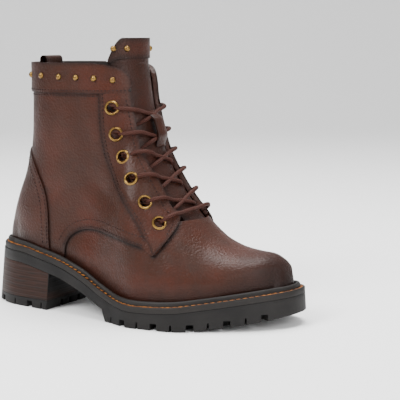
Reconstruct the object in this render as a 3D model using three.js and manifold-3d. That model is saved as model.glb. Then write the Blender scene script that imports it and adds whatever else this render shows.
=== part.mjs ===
// Lace up ankle boot, one right boot, standing empty on its sole.
// Millimetres, +Z up, +X towards the toe, +Y towards the medial side.
// Stations run along X from the back end of the sole, and the group at the end moves the
// origin to the middle of the heel's tread.
import * as THREE from 'three';
import { mergeVertices } from 'three/addons/utils/BufferGeometryUtils.js';
import Module from 'manifold-3d';

// Sole
const SOLE_LENGTH = 268;
const BALL_WIDTH = 100;
const TOE_SWING = 20.6;
const SEAT_HEIGHT = 50;
const TREAD_HEIGHT = 17;
const TOE_SPRING = 12;
const TREAD_SPRING = 10.5;
const BAND_DEPTH = 13;
const WELT_DEPTH = 4.5;
const SOLE_FLARE = 4.5;
const FOREFOOT_FLARE = 1;
const FOREPART_START = 127;
const HEEL_BREAST = 67;
const TOP_PIECE = 8;
const LUG_DEPTH = 5;
const LUG_REACH = 12;
const LUG_PITCH = 14;
const LUG_GROOVE = 3.4;

// Upper
const COLLAR_HEIGHT = 201;
const COLLAR_FRONT = 138;
const SHAFT_LEAN = 29;
const SHAFT_WIDTH = 68;
const WELT_LEDGE = 7;
const BACK_LEDGE = 7.5;
const TOE_LEDGE = 8;
const WALL = 2;
const QUARTER_STEP = 1;
const OVERLAY = 1.2;
const OVERLAY_GAP = 0.6;
const GAP = 0.3;
const BEAD_HEIGHT = 4;
const BEAD_WIDTH = 3;
const BEAD_PLAY = 0.6;
const INSOLE = 6;
const INSOLE_PLAY = 0.6;

// Tongue
const TONGUE_THICKNESS = 3;
const TONGUE_PLAY = 1.1;
const TONGUE_TOP = 221;
const TONGUE_BAND = 17;

// Fastenings
const EYELET_RADIUS = 5.6;
const EYELET_BORE = 3.1;
const EYELET_LIP = 1.1;
const BARREL_WALL = 0.5;
const STUD_RADIUS = 2.9;
const STUD_HEIGHT = 2.2;
const SEAT_PLAY = 0.3;
const LACE_DIAMETER = 3.2;
const KEEPER_WIDTH = 12;
const KEEPER_LENGTH = 24;
const LOOP_WIDTH = 22;
const LOOP_GAP = 5;
const LOOP_RISE = 6;
const LOOP_LENGTH = 26;
const STRAP = 1.6;
const ZIP_GAP = 10;
const ZIP_TAPE = 0.7;
const TEETH_WIDTH = 4.4;
const TEETH_HEIGHT = 1.3;
const SLIDER_WIDTH = 7.6;
const SLIDER_LENGTH = 11;
const SLIDER_DEPTH = 2.4;
const EAR_WIDTH = 1.2;
const PULL_LENGTH = 20;
const PULL_WIDTH = 5;
const PULL_THICKNESS = 1.4;
const PIN_RADIUS = 0.8;
const PIN_PLAY = 0.06;

// How finely the curved pieces are cut into facets
const AROUND = 34;
const RINGS = 13;
const SOLE_STATIONS = 26;
const EYELET_SIDES = 8;
const HOLE_SIDES = 6;
const STUD_SIDES = 8;
const CORD_SIDES = 5;
const CORD_STEPS = 6;
const PIN_SIDES = 12;

// Outline of the sole's top edge: share of SOLE_LENGTH, half widths as shares of BALL_WIDTH
const OUTLINE = [
  { along: 0, lateral: 0, medial: 0 },
  { along: 0.035, lateral: 0.2, medial: 0.2 },
  { along: 0.11, lateral: 0.303, medial: 0.303 },
  { along: 0.2, lateral: 0.335, medial: 0.335 },
  { along: 0.3, lateral: 0.37, medial: 0.325 },
  { along: 0.4, lateral: 0.43, medial: 0.3 },
  { along: 0.5, lateral: 0.52, medial: 0.315 },
  { along: 0.6, lateral: 0.615, medial: 0.365 },
  { along: 0.7, lateral: 0.615, medial: 0.395 },
  { along: 0.8, lateral: 0.525, medial: 0.385 },
  { along: 0.88, lateral: 0.425, medial: 0.34 },
  { along: 0.94, lateral: 0.315, medial: 0.26 },
  { along: 0.98, lateral: 0.19, medial: 0.155 },
  { along: 1, lateral: 0, medial: 0 },
];

// Height of the top edge: drop from the seat as a share of seat less tread, and toe spring
const EDGE = [
  { along: 0, drop: 0, spring: 0 },
  { along: 0.12, drop: 0.02, spring: 0 },
  { along: 0.2, drop: 0.13, spring: 0 },
  { along: 0.29, drop: 0.28, spring: 0 },
  { along: 0.37, drop: 0.49, spring: 0 },
  { along: 0.46, drop: 0.79, spring: 0 },
  { along: 0.53, drop: 0.955, spring: 0 },
  { along: 0.61, drop: 1, spring: 0 },
  { along: 0.716, drop: 1, spring: 0.12 },
  { along: 0.787, drop: 1, spring: 0.33 },
  { along: 0.86, drop: 1, spring: 0.58 },
  { along: 0.925, drop: 1, spring: 0.8 },
  { along: 1, drop: 1, spring: 1 },
];

// Back line of the upper: rise as a share of the shaft, forward lean as a share of SHAFT_LEAN
const BACK_LINE = [
  { rise: 0, lean: 0 },
  { rise: 0.05, lean: 0.03 },
  { rise: 0.13, lean: 0.14 },
  { rise: 0.265, lean: 0.38 },
  { rise: 0.4, lean: 0.68 },
  { rise: 0.53, lean: 0.86 },
  { rise: 0.66, lean: 0.95 },
  { rise: 0.83, lean: 0.99 },
  { rise: 1, lean: 1 },
];

// Half width of the shaft as a share of SHAFT_WIDTH
const SHAFT = [
  { rise: 0, half: 0.388 },
  { rise: 0.165, half: 0.395 },
  { rise: 0.33, half: 0.412 },
  { rise: 0.53, half: 0.45 },
  { rise: 0.73, half: 0.485 },
  { rise: 1, half: 0.5 },
];

// Crest line from the collar's front to the toe: place between them, and height above the
// sole's edge as a share of its height at the collar's front
const CREST = [
  { along: 0, height: 1 },
  { along: 0.022, height: 0.912 },
  { along: 0.043, height: 0.822 },
  { along: 0.082, height: 0.72 },
  { along: 0.132, height: 0.633 },
  { along: 0.201, height: 0.538 },
  { along: 0.273, height: 0.462 },
  { along: 0.364, height: 0.375 },
  { along: 0.463, height: 0.297 },
  { along: 0.561, height: 0.238 },
  { along: 0.66, height: 0.2 },
  { along: 0.766, height: 0.175 },
  { along: 0.865, height: 0.157 },
  { along: 0.93, height: 0.127 },
];

const wasm = await Module();
wasm.setup();

// Tables and curves

function column(rows, name) {
  return rows.map((row) => row[name]);
}

// Monotone cubic curve through a table's two columns, held level past its ends
function curve(at, value) {
  const last = at.length - 1;
  const run = at.slice(1).map((a, i) => a - at[i]);
  const rate = run.map((h, i) => (value[i + 1] - value[i]) / h);
  const slope = value.map((_, i) => {
    if (i === 0) return rate[0];
    if (i === last) return rate[last - 1];
    if (rate[i - 1] * rate[i] <= 0) return 0;
    const before = 2 * run[i] + run[i - 1];
    const after = run[i] + 2 * run[i - 1];
    return (before + after) / (before / rate[i - 1] + after / rate[i]);
  });
  return (x) => {
    const p = Math.min(Math.max(x, at[0]), at[last]);
    let i = 0;
    while (i < last - 1 && p >= at[i + 1]) i += 1;
    const s = (p - at[i]) / run[i];
    return value[i] * (1 + 2 * s) * (1 - s) ** 2 + slope[i] * run[i] * s * (1 - s) ** 2
      + value[i + 1] * s * s * (3 - 2 * s) - slope[i + 1] * run[i] * s * s * (1 - s);
  };
}

function tableCurve(rows, from, to) {
  return curve(column(rows, from), column(rows, to));
}

function clamp(x, low, high) {
  return Math.min(Math.max(x, low), high);
}

function ease(from, to, x) {
  const s = clamp((x - from) / (to - from), 0, 1);
  return s * s * (3 - 2 * s);
}

function cosineShare(i, count) {
  return (1 - Math.cos((Math.PI * i) / count)) / 2;
}

// Sole outline and heights

const squares = { lateral: null, medial: null };
for (const side of ['lateral', 'medial']) {
  const halves = column(OUTLINE, side).map((h) => h * BALL_WIDTH);
  squares[side] = curve(column(OUTLINE, 'along'), halves.map((h) => h * h));
}
const dropAt = tableCurve(EDGE, 'along', 'drop');
const springAt = tableCurve(EDGE, 'along', 'spring');

const SWING_START = 0.3;
const SWING_POWER = 1.7;

function centreLine(share) {
  return TOE_SWING * Math.max((share - SWING_START) / (1 - SWING_START), 0) ** SWING_POWER;
}

function sideName(side) {
  return side < 0 ? 'lateral' : 'medial';
}

function soleHalf(share, side) {
  return Math.sqrt(Math.max(squares[sideName(side)](share), 0));
}

function edgeHeight(x) {
  const share = x / SOLE_LENGTH;
  return SEAT_HEIGHT - (SEAT_HEIGHT - TREAD_HEIGHT) * dropAt(share) + TOE_SPRING * springAt(share);
}

function floorHeight(x) {
  return TREAD_SPRING * Math.max((x / SOLE_LENGTH - 0.74) / 0.26, 0) ** 1.35;
}

// Where the upper meets the sole
const FOOT_BACK = BACK_LEDGE;
const FOOT_FRONT = SOLE_LENGTH - TOE_LEDGE;
const END_ROUND = 24;

function footShare(x) {
  return clamp((x - FOOT_BACK) / (FOOT_FRONT - FOOT_BACK), 0, 1);
}

function footHalf(share, side) {
  const half = soleHalf(share, side);
  return half - WELT_LEDGE * Math.min(half / END_ROUND, 1) ** 2;
}

// A loop's point with an outward step in plan, from its two edges
function loopPoint(place, share, side, out) {
  const end = share <= 0 || share >= 1;
  const [x, y] = place(share, side);
  if (end) return [x + (share <= 0 ? -out : out), y];
  const [xa, ya] = place(share - 0.002, side);
  const [xb, yb] = place(share + 0.002, side);
  const length = Math.hypot(xb - xa, yb - ya);
  return [x + (side * -(yb - ya) * out) / length, y + (side * (xb - xa) * out) / length];
}

function solePlace(share, side) {
  return [share * SOLE_LENGTH, centreLine(share) + side * soleHalf(share, side)];
}

function footPlace(share, side) {
  const x = FOOT_BACK + share * (FOOT_FRONT - FOOT_BACK);
  return [x, centreLine(share) + side * footHalf(share, side)];
}

// Surface of the upper: its half width squared at a station and height

const collarRise = COLLAR_HEIGHT - SEAT_HEIGHT;
const leanAt = tableCurve(BACK_LINE, 'rise', 'lean');
const halfAt = tableCurve(SHAFT, 'rise', 'half');
const crestRun = FOOT_FRONT - COLLAR_FRONT;
const crestRise = COLLAR_HEIGHT - edgeHeight(COLLAR_FRONT);
const crestSquares = curve(
  [...column(CREST, 'along'), 1],
  [...column(CREST, 'height').map((h) => (h * crestRise) ** 2), 0],
);

const BULGE_START = 4;
const BULGE_END = 16;
const FEATHER_TUCK = 0.06;
const SHOULDER = 9;
const SEAT_FADE = 34;
const HEEL_ROUND = 34;
const FRONT_ROUND = 42;
const SECTION_POWER = 1.12;

function backLine(z) {
  return FOOT_BACK + SHAFT_LEAN * leanAt((z - SEAT_HEIGHT) / collarRise);
}

function crestHeight(x) {
  return Math.sqrt(Math.max(crestSquares((x - COLLAR_FRONT) / crestRun), 0));
}

// The crest's station at a height, found by halving
function frontLine(z) {
  if (z >= COLLAR_HEIGHT) return COLLAR_FRONT;
  let low = COLLAR_FRONT;
  let high = COLLAR_FRONT + 0.7 * crestRun;
  for (let i = 0; i < 30; i += 1) {
    const middle = (low + high) / 2;
    if (edgeHeight(middle) + crestHeight(middle) > z) low = middle;
    else high = middle;
  }
  return (low + high) / 2;
}

function halfSquare(x, z, side) {
  const rise = z - edgeHeight(x);
  const tuck = 1 - FEATHER_TUCK * (1 - ease(BULGE_START, BULGE_END, rise));
  const over = Math.max(rise - SHOULDER, 0) ** 2;
  const room = Math.max(crestHeight(x) - SHOULDER, 0.5) ** 2;
  const fore = footHalf(footShare(x), side) ** 2 * (1 - (over / room) ** SECTION_POWER);
  const width = SHAFT_WIDTH * halfAt((z - SEAT_HEIGHT) / collarRise);
  const fromBack = Math.min((x - backLine(z)) / HEEL_ROUND, 1);
  const fromFront = Math.min((frontLine(z) - x) / FRONT_ROUND, 1);
  const round = width ** 2 * (1 - (1 - fromBack) ** 2) * (1 - (1 - fromFront) ** 2);
  const seat = footHalf(footShare(x - backLine(z) + FOOT_BACK), side) ** 2;
  const rear = seat + (round - seat) * ease(BULGE_START, SEAT_FADE, rise);
  const blend = ease(-8, 36, (x - 92) * 0.8 - (z - 70) * 0.55);
  return tuck * ((1 - blend) * rear + blend * fore);
}

function surfaceY(x, z, side) {
  return centreLine(footShare(x)) + side * Math.sqrt(Math.max(halfSquare(x, z, side), 0));
}

// Outward normal of the surface, level at the feather edge and the collar
function surfaceNormal(x, z, side, level, h = 0.4) {
  const y = surfaceY(x, z, side) - centreLine(footShare(x));
  const gx = (halfSquare(x + h, z, side) - halfSquare(x - h, z, side)) / (2 * h);
  const gz = (halfSquare(x, z + h, side) - halfSquare(x, z - h, side)) / (2 * h);
  const swing = (centreLine(footShare(x + h)) - centreLine(footShare(x - h))) / (2 * h);
  const normal = new THREE.Vector3(-gx - 2 * y * swing, 2 * y, level ? 0 : -gz);
  return normal.normalize();
}

// Crest path from the toe's foot to the collar's front, with the length walked
const crestPath = [];
for (let i = 0; i <= 240; i += 1) {
  const x = FOOT_FRONT - crestRun * (i / 240) ** 1.6;
  const z = edgeHeight(x) + crestHeight(x);
  const before = crestPath[i - 1];
  const walked = before ? before.walked + Math.hypot(x - before.x, z - before.z) : 0;
  crestPath.push({ x, z, walked });
}

function crestEnd(share) {
  const goal = clamp(share, 0, 1) * crestPath[crestPath.length - 1].walked;
  const i = Math.max(crestPath.findIndex((p) => p.walked >= goal), 1);
  const [a, b] = [crestPath[i - 1], crestPath[i]];
  const s = (goal - a.walked) / Math.max(b.walked - a.walked, 1e-9);
  return { x: a.x + s * (b.x - a.x), z: a.z + s * (b.z - a.z) };
}

const RING_CURL = 5;

// A ring of the upper: level share 0 is the feather edge and 1 is the collar
function ringSide(level, side) {
  const seat = edgeHeight(FOOT_BACK);
  const startZ = seat + level * (COLLAR_HEIGHT - seat);
  const start = level === 0 ? FOOT_BACK : backLine(startZ);
  const end = crestEnd(level);
  const straight = ease(0.1, 0.8, level);
  const base = Math.asin(clamp(level, 0, 1)) / (Math.PI / 2);
  const at = (share) => {
    const x = start + (end.x - start) * share;
    const turn = 1 - (1 - base) * Math.sqrt(Math.max(1 - share ** RING_CURL, 0));
    const top = x < COLLAR_FRONT ? COLLAR_HEIGHT - edgeHeight(x) : crestHeight(x);
    const curled = edgeHeight(x) + top * (level === 0 ? 0 : Math.sin((Math.PI / 2) * turn));
    const z = curled + straight * (startZ + (end.z - startZ) * share - curled);
    return { x, z, y: surfaceY(x, z, side) };
  };
  const fine = 90;
  const path = [];
  for (let i = 0; i <= fine; i += 1) {
    const point = at(cosineShare(i, fine));
    const before = path[i - 1];
    const step = before ? Math.hypot(point.x - before.x, point.y - before.y, point.z - before.z) : 0;
    path.push({ ...point, walked: before ? before.walked + step : 0 });
  }
  const total = path[fine].walked;
  const ring = [];
  for (let i = 0; i <= AROUND / 2; i += 1) {
    const goal = (total * i) / (AROUND / 2);
    const k = clamp(path.findIndex((p) => p.walked >= goal - 1e-9), 1, fine);
    const s = (goal - path[k - 1].walked) / (path[k].walked - path[k - 1].walked);
    const share = cosineShare(k - 1, fine) + s * (cosineShare(k, fine) - cosineShare(k - 1, fine));
    ring.push(at(clamp(share, 0, 1)));
  }
  return ring;
}

// The ring stepped outward by a distance, as one closed loop from the back, by the lateral side
function ringLoop(level, out, lift) {
  const level0 = level === 0 || level === 1;
  const sides = [-1, 1].map((side) => ringSide(level, side).map((p, i, all) => {
    let normal;
    if (i === 0) {
      const lean = level0 ? 0 : (backLine(p.z + 1) - backLine(p.z - 1)) / 2;
      normal = new THREE.Vector3(-1, 0, lean).normalize();
    } else if (i === all.length - 1) {
      const [a, b] = [crestEnd(level - 0.01), crestEnd(level + 0.01)];
      normal = level0 ? new THREE.Vector3(1, 0, 0) : new THREE.Vector3(b.z - a.z, 0, a.x - b.x).normalize();
    } else {
      normal = surfaceNormal(p.x, p.z, side, level0);
    }
    const point = new THREE.Vector3(p.x, p.y, p.z).addScaledVector(normal, out);
    point.z += lift;
    return point;
  }));
  const medialBack = sides[1].slice(1, -1).reverse();
  return [...sides[0], ...medialBack];
}

// Meshes and solids

function meshOf(points, faces) {
  const geometry = new THREE.BufferGeometry();
  const flat = new Float32Array(points.flatMap((p) => [p.x, p.y, p.z]));
  geometry.setAttribute('position', new THREE.BufferAttribute(flat, 3));
  geometry.setIndex(faces.flat());
  return geometry;
}

// Closed skin over equal loops, capped by strips from side to side
function loftGeometry(loops) {
  const count = loops[0].length;
  const faces = [];
  for (let r = 0; r < loops.length - 1; r += 1) {
    for (let i = 0; i < count; i += 1) {
      const [a, b] = [r * count + i, r * count + ((i + 1) % count)];
      faces.push([a, b, a + count], [b, b + count, a + count]);
    }
  }
  const top = (loops.length - 1) * count;
  for (let i = 0; i < count / 2; i += 1) {
    const [a, b] = [i, i + 1];
    const [c, d] = [(count - i) % count, count - i - 1];
    if (i > 0) {
      faces.push([a, c, b]);
      faces.push([top + a, top + b, top + c]);
    }
    if (d !== b) {
      faces.push([b, c, d]);
      faces.push([top + b, top + d, top + c]);
    }
  }
  return meshOf(loops.flat(), faces);
}

// Closed skin over a closed chain of equal loops, as on a ring with a hole
function hoopGeometry(loops) {
  const count = loops[0].length;
  const faces = [];
  for (let r = 0; r < loops.length; r += 1) {
    const next = (r + 1) % loops.length;
    for (let i = 0; i < count; i += 1) {
      const j = (i + 1) % count;
      const [a, b, c, d] = [r * count + i, r * count + j, next * count + i, next * count + j];
      faces.push([a, b, c], [b, d, c]);
    }
  }
  return meshOf(loops.flat(), faces);
}

function solid(geometry) {
  const bare = geometry.clone();
  bare.deleteAttribute('normal');
  bare.deleteAttribute('uv');
  const merged = mergeVertices(bare, 1e-4);
  const vertProperties = new Float32Array(merged.attributes.position.array);
  const triVerts = new Uint32Array(merged.index.array);
  const made = new wasm.Manifold(new wasm.Mesh({ numProp: 3, vertProperties, triVerts }));
  if (made.volume() > 0) return made;
  const turned = triVerts.slice();
  for (let i = 0; i < turned.length; i += 3) [turned[i], turned[i + 1]] = [turned[i + 1], turned[i]];
  return new wasm.Manifold(new wasm.Mesh({ numProp: 3, vertProperties, triVerts: turned }));
}

function geometryOf(made) {
  const mesh = made.getMesh();
  const geometry = new THREE.BufferGeometry();
  const points = [];
  for (let i = 0; i < mesh.numVert; i += 1) points.push(...mesh.position(i));
  geometry.setAttribute('position', new THREE.BufferAttribute(new Float32Array(points), 3));
  geometry.setIndex([...mesh.triVerts]);
  return geometry;
}

// Prism of a side view outline, from one Y to another
function sidePrism(outline, from, to) {
  const shape = new THREE.Shape(outline.map(([x, z]) => new THREE.Vector2(x, z)));
  const geometry = new THREE.ExtrudeGeometry(shape, { depth: to - from, bevelEnabled: false });
  geometry.rotateX(Math.PI / 2);
  geometry.translate(0, to, 0);
  return solid(geometry);
}

const REACH = 90;

function bothSides(outline) {
  return sidePrism(outline, -REACH, REACH);
}

function oneSide(outline, side) {
  return side < 0 ? sidePrism(outline, -REACH, 0) : sidePrism(outline, 0, REACH);
}

// The upper's form grown outward by a distance, with its ends carried on past feather and collar
function form(out, below = 0, above = 0) {
  const loops = [];
  if (below > 0) loops.push(ringLoop(0, out, -below));
  loops.push(ringLoop(0, out, GAP));
  for (let r = 1; r < RINGS; r += 1) loops.push(ringLoop(r / RINGS, out, 0));
  loops.push(ringLoop(1, out, 0));
  if (above > 0) loops.push(ringLoop(1, out, above));
  return solid(loftGeometry(loops));
}

function shell(inner, outer, above = 0) {
  return form(outer, 0, above).subtract(form(inner, 12, above + 12));
}

// Side view lines of the upper. Heights run from the sole's seat to the collar as shares of
// the shaft, and stations from the heel's back as shares of the sole's length.

function sideLine(rows) {
  return rows.map(({ along, rise }) => [along * SOLE_LENGTH, SEAT_HEIGHT + rise * collarRise]);
}

const THROAT_EDGE = sideLine([
  { along: 0.503, rise: 0.81 },
  { along: 0.519, rise: 0.675 },
  { along: 0.533, rise: 0.593 },
  { along: 0.55, rise: 0.528 },
  { along: 0.572, rise: 0.47 },
  { along: 0.604, rise: 0.383 },
  { along: 0.643, rise: 0.274 },
  { along: 0.665, rise: 0.233 },
]);
const EYESTAY_TIP = sideLine([
  { along: 0.675, rise: 0.2 },
  { along: 0.678, rise: 0.17 },
  { along: 0.676, rise: 0.136 },
  { along: 0.667, rise: 0.094 },
  { along: 0.645, rise: 0.036 },
]);
const EYESTAY_REAR = sideLine([
  { along: 0.616, rise: 0.118 },
  { along: 0.575, rise: 0.225 },
  { along: 0.527, rise: 0.32 },
  { along: 0.484, rise: 0.4 },
  { along: 0.455, rise: 0.487 },
  { along: 0.441, rise: 0.583 },
  { along: 0.434, rise: 0.69 },
  { along: 0.43, rise: 0.84 },
]);
const QUARTER_EDGE = sideLine([
  { along: 0.604, rise: 0.077 },
  { along: 0.53, rise: 0.108 },
  { along: 0.47, rise: 0.122 },
  { along: 0.42, rise: 0.127 },
  { along: 0.375, rise: 0.124 },
  { along: 0.338, rise: 0.106 },
  { along: 0.31, rise: 0.072 },
  { along: 0.294, rise: 0.025 },
  { along: 0.285, rise: -0.08 },
]);
const COUNTER_EDGE = sideLine([
  { along: 0.235, rise: -0.06 },
  { along: 0.229, rise: 0.03 },
  { along: 0.228, rise: 0.15 },
  { along: 0.226, rise: 0.23 },
  { along: 0.214, rise: 0.34 },
  { along: 0.19, rise: 0.43 },
  { along: 0.15, rise: 0.51 },
  { along: 0.1, rise: 0.565 },
]);
const CUFF_FRONT = sideLine([
  { along: 0.5, rise: 0.85 },
  { along: 0.5, rise: 0.9 },
  { along: 0.492, rise: 0.945 },
  { along: 0.475, rise: 0.975 },
  { along: 0.44, rise: 0.994 },
]);
const CUFF_BOTTOM = 0.845;
const EYELETS = sideLine([
  { along: 0.462, rise: 0.771 },
  { along: 0.475, rise: 0.635 },
  { along: 0.501, rise: 0.517 },
  { along: 0.544, rise: 0.408 },
  { along: 0.5925, rise: 0.295 },
  { along: 0.639, rise: 0.192 },
]);
const CUFF_STUDS = {
  lateral: sideLine([
    { along: 0.168, rise: 0.935 },
    { along: 0.232, rise: 0.933 },
    { along: 0.297, rise: 0.929 },
    { along: 0.358, rise: 0.927 },
    { along: 0.413, rise: 0.923 },
    { along: 0.461, rise: 0.914 },
  ]),
  medial: sideLine([
    { along: 0.168, rise: 0.935 },
    { along: 0.228, rise: 0.933 },
    { along: 0.372, rise: 0.927 },
    { along: 0.44, rise: 0.918 },
  ]),
};

function riseHeight(rise) {
  return SEAT_HEIGHT + rise * collarRise;
}

// Zip line on the medial side, from the collar down
const ZIP_TOP = { along: 0.3, rise: 1 };
const ZIP_END = { along: 0.378, rise: 0.15 };

function zipLine(share) {
  return [
    SOLE_LENGTH * (ZIP_TOP.along + share * (ZIP_END.along - ZIP_TOP.along)),
    riseHeight(ZIP_TOP.rise + share * (ZIP_END.rise - ZIP_TOP.rise)),
  ];
}

// Strip along the zip in side view, with a half width and its shares of the zip's length
function zipStrip(half, from, to) {
  const [a, b] = [zipLine(from), zipLine(to)];
  const length = Math.hypot(b[0] - a[0], b[1] - a[1]);
  const across = [(-(b[1] - a[1]) / length) * half, ((b[0] - a[0]) / length) * half];
  return [
    [a[0] - across[0], a[1] - across[1]],
    [b[0] - across[0], b[1] - across[1]],
    [b[0] + across[0], b[1] + across[1]],
    [a[0] + across[0], a[1] + across[1]],
  ];
}

// Upper

// Overlays lie on the quarter, from one gap above it to their own thickness
const OVERLAY_IN = QUARTER_STEP + OVERLAY_GAP;
const OVERLAY_OUT = OVERLAY_IN + OVERLAY;

const BELOW_SOLE = -20;
const ABOVE_COLLAR = 40;
const SEAT_SINK = 4;
const SEAT_GAP = 0.6;
const SEAT_STEPS = 36;

function quarterOutline() {
  const back = -30;
  return [
    [back, BELOW_SOLE],
    ...[...QUARTER_EDGE].reverse(),
    ...[...EYESTAY_TIP].reverse(),
    ...[...THROAT_EDGE].reverse(),
    [CUFF_FRONT[0][0], COLLAR_HEIGHT + ABOVE_COLLAR],
    [back, COLLAR_HEIGHT + ABOVE_COLLAR],
  ];
}

function throatOutline() {
  const foot = THROAT_EDGE[THROAT_EDGE.length - 1];
  const bottom = [foot[0] + 6, foot[1] - 1];
  return [
    ...THROAT_EDGE,
    bottom,
    [bottom[0] + 20, bottom[1] + 15],
    [COLLAR_FRONT + 50, COLLAR_HEIGHT + ABOVE_COLLAR],
    [CUFF_FRONT[4][0], COLLAR_HEIGHT + ABOVE_COLLAR],
    CUFF_FRONT[4],
    CUFF_FRONT[3],
    CUFF_FRONT[2],
    CUFF_FRONT[1],
    CUFF_FRONT[0],
  ];
}

// What lies under the upper's seat on the welt, in side view
function underSeat() {
  const line = [];
  for (let i = 0; i <= SEAT_STEPS; i += 1) {
    const x = (SOLE_LENGTH * i) / SEAT_STEPS;
    line.push([x, edgeHeight(x) + SEAT_GAP]);
  }
  return bothSides([[-30, BELOW_SOLE], [-30, line[0][1]], ...line, [SOLE_LENGTH + 30, BELOW_SOLE]]);
}

// Placement on the surface: +Z along the outward normal, +Y down the surface
function seatMatrix([x, z], side, out, down = new THREE.Vector3(0, 0, -1), span = 0.4) {
  const height = Math.min(z, COLLAR_HEIGHT);
  const normal = surfaceNormal(x, height, side, z > COLLAR_HEIGHT, span);
  const at = new THREE.Vector3(x, surfaceY(x, height, side), z).addScaledVector(normal, out);
  const across = new THREE.Vector3().crossVectors(down, normal).normalize();
  const along = new THREE.Vector3().crossVectors(normal, across);
  return new THREE.Matrix4().makeBasis(across, along, normal).setPosition(at);
}

// A point's distance outside the surface, to first order
function distanceOut(point, side) {
  const h = 0.4;
  const offset = point.y - centreLine(footShare(point.x));
  const gx = (halfSquare(point.x + h, point.z, side) - halfSquare(point.x - h, point.z, side)) / (2 * h);
  const gz = (halfSquare(point.x, point.z + h, side) - halfSquare(point.x, point.z - h, side)) / (2 * h);
  return (offset ** 2 - halfSquare(point.x, point.z, side)) / Math.hypot(gx, 2 * offset, gz);
}

// Seat for a round piece: level with the surface under its whole rim, and clear of it
function roundSeat(spot, side, radius, out) {
  const down = new THREE.Vector3(0, 0, -1);
  const flat = seatMatrix(spot, side, out, down, 0.8 * radius);
  let rise = 0;
  for (let i = 0; i < 12; i += 1) {
    const turn = (Math.PI * i) / 6;
    const rim = new THREE.Vector3(radius * Math.cos(turn), radius * Math.sin(turn), 0).applyMatrix4(flat);
    rise = Math.max(rise, out - distanceOut(rim, side));
  }
  return seatMatrix(spot, side, out + rise, down, 0.8 * radius);
}

function makeUpper() {
  const quarter = form(QUARTER_STEP, SEAT_SINK).intersect(bothSides(quarterOutline()));
  const zipRecess = oneSide(zipStrip(ZIP_GAP / 2, -0.02, 1), 1).subtract(form(0, SEAT_SINK));
  const outside = form(0, SEAT_SINK).add(quarter.subtract(zipRecess));
  const hollow = outside.subtract(form(-WALL, 12, 12));
  const open = hollow.subtract(bothSides(throatOutline())).subtract(underSeat());
  return open.subtract(eyeletHoles(-1)).subtract(eyeletHoles(1));
}

// Holes that the eyelets' barrels pass through, with a named play
function eyeletHoles(side) {
  const radius = (EYELET_BORE + BARREL_WALL + GAP) / Math.cos(Math.PI / HOLE_SIDES);
  const holes = EYELETS.map((spot) => {
    const hole = new THREE.CylinderGeometry(radius, radius, 2 * (OVERLAY_OUT + WALL), HOLE_SIDES);
    hole.rotateX(Math.PI / 2);
    hole.applyMatrix4(roundSeat(spot, side, EYELET_RADIUS, 0));
    return solid(hole);
  });
  return wasm.Manifold.union(holes);
}

function overlay(prism) {
  return shell(OVERLAY_IN, OVERLAY_OUT).intersect(prism);
}

function eyestayOutline() {
  return [
    ...EYESTAY_REAR,
    [EYESTAY_REAR[7][0], riseHeight(CUFF_BOTTOM) - GAP],
    [CUFF_FRONT[0][0], riseHeight(CUFF_BOTTOM) - GAP],
    ...THROAT_EDGE,
    ...EYESTAY_TIP,
  ];
}

function cuffOutline(back) {
  return [
    [back, riseHeight(CUFF_BOTTOM)],
    [CUFF_FRONT[0][0], riseHeight(CUFF_BOTTOM)],
    ...CUFF_FRONT,
    [CUFF_FRONT[4][0] - 4, COLLAR_HEIGHT + 10],
    [back, COLLAR_HEIGHT + 10],
  ];
}

function makeCuff() {
  const lateral = oneSide(cuffOutline(-30), -1);
  const zip = zipLine(0)[0] - ZIP_GAP / 2;
  const medial = oneSide(
    [
      [-30, riseHeight(CUFF_BOTTOM)],
      [zip + 3, riseHeight(CUFF_BOTTOM)],
      [zip, COLLAR_HEIGHT + 10],
      [-30, COLLAR_HEIGHT + 10],
    ],
    1,
  );
  return overlay(lateral.add(medial));
}

function makeCuffFront() {
  const zip = zipLine(0)[0] + ZIP_GAP / 2;
  const outline = cuffOutline(zip);
  outline[0][0] += 3;
  return overlay(oneSide(outline, 1));
}

function makeCounter() {
  const back = -30;
  const outline = [[back, BELOW_SOLE], ...COUNTER_EDGE, [back, riseHeight(0.6)]];
  return overlay(bothSides(outline)).subtract(beadSpace());
}

// Keeps overlays off the welt's bead
function beadSpace() {
  const loops = [-2, BEAD_HEIGHT + 2 * GAP].map((lift) => ringLoop(0, BEAD_WIDTH + 3, lift));
  return solid(loftGeometry(loops)).subtract(form(0.4, 12, 0));
}

// Sole pieces

const stations = [];
for (let i = 0; i <= SOLE_STATIONS; i += 1) {
  stations.push(0.35 * (i / SOLE_STATIONS) + 0.65 * cosineShare(i, SOLE_STATIONS));
}

function planLoop(place, out, height) {
  const sides = [-1, 1].map((side) => stations.map((share) => {
    const step = typeof out === 'function' ? out(share) : out;
    const [x, y] = loopPoint(place, share, side, step);
    return new THREE.Vector3(x, y, height(place(share, side)[0]));
  }));
  return [...sides[0], ...sides[1].slice(1, -1).reverse()];
}

function flare(share) {
  const forward = ease(0.25, 0.5, share);
  return SOLE_FLARE * (1 - forward) + FOREFOOT_FLARE * forward;
}

function bandHeight(x) {
  return edgeHeight(x) - BAND_DEPTH;
}

function soleBody() {
  return solid(loftGeometry([
    planLoop(solePlace, flare, floorHeight),
    planLoop(solePlace, (share) => 0.15 * flare(share), (x) => edgeHeight(x) - WELT_DEPTH - GAP),
  ]));
}

// Underside of the band over the heel and waist, down to the forepart's back face
function bandLine(drop) {
  const points = [];
  for (let i = 0; i <= 12; i += 1) {
    const x = -20 + ((FOREPART_START + 20) * i) / 12;
    points.push([x, bandHeight(Math.max(x, 0)) - drop]);
  }
  return points;
}

function underBand() {
  return bothSides([
    [-20, -10],
    ...bandLine(0),
    [FOREPART_START + 1, 0.35 * TREAD_HEIGHT],
    [FOREPART_START + 3, 0.12 * TREAD_HEIGHT],
    [FOREPART_START + 8, -10],
  ]);
}

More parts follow.
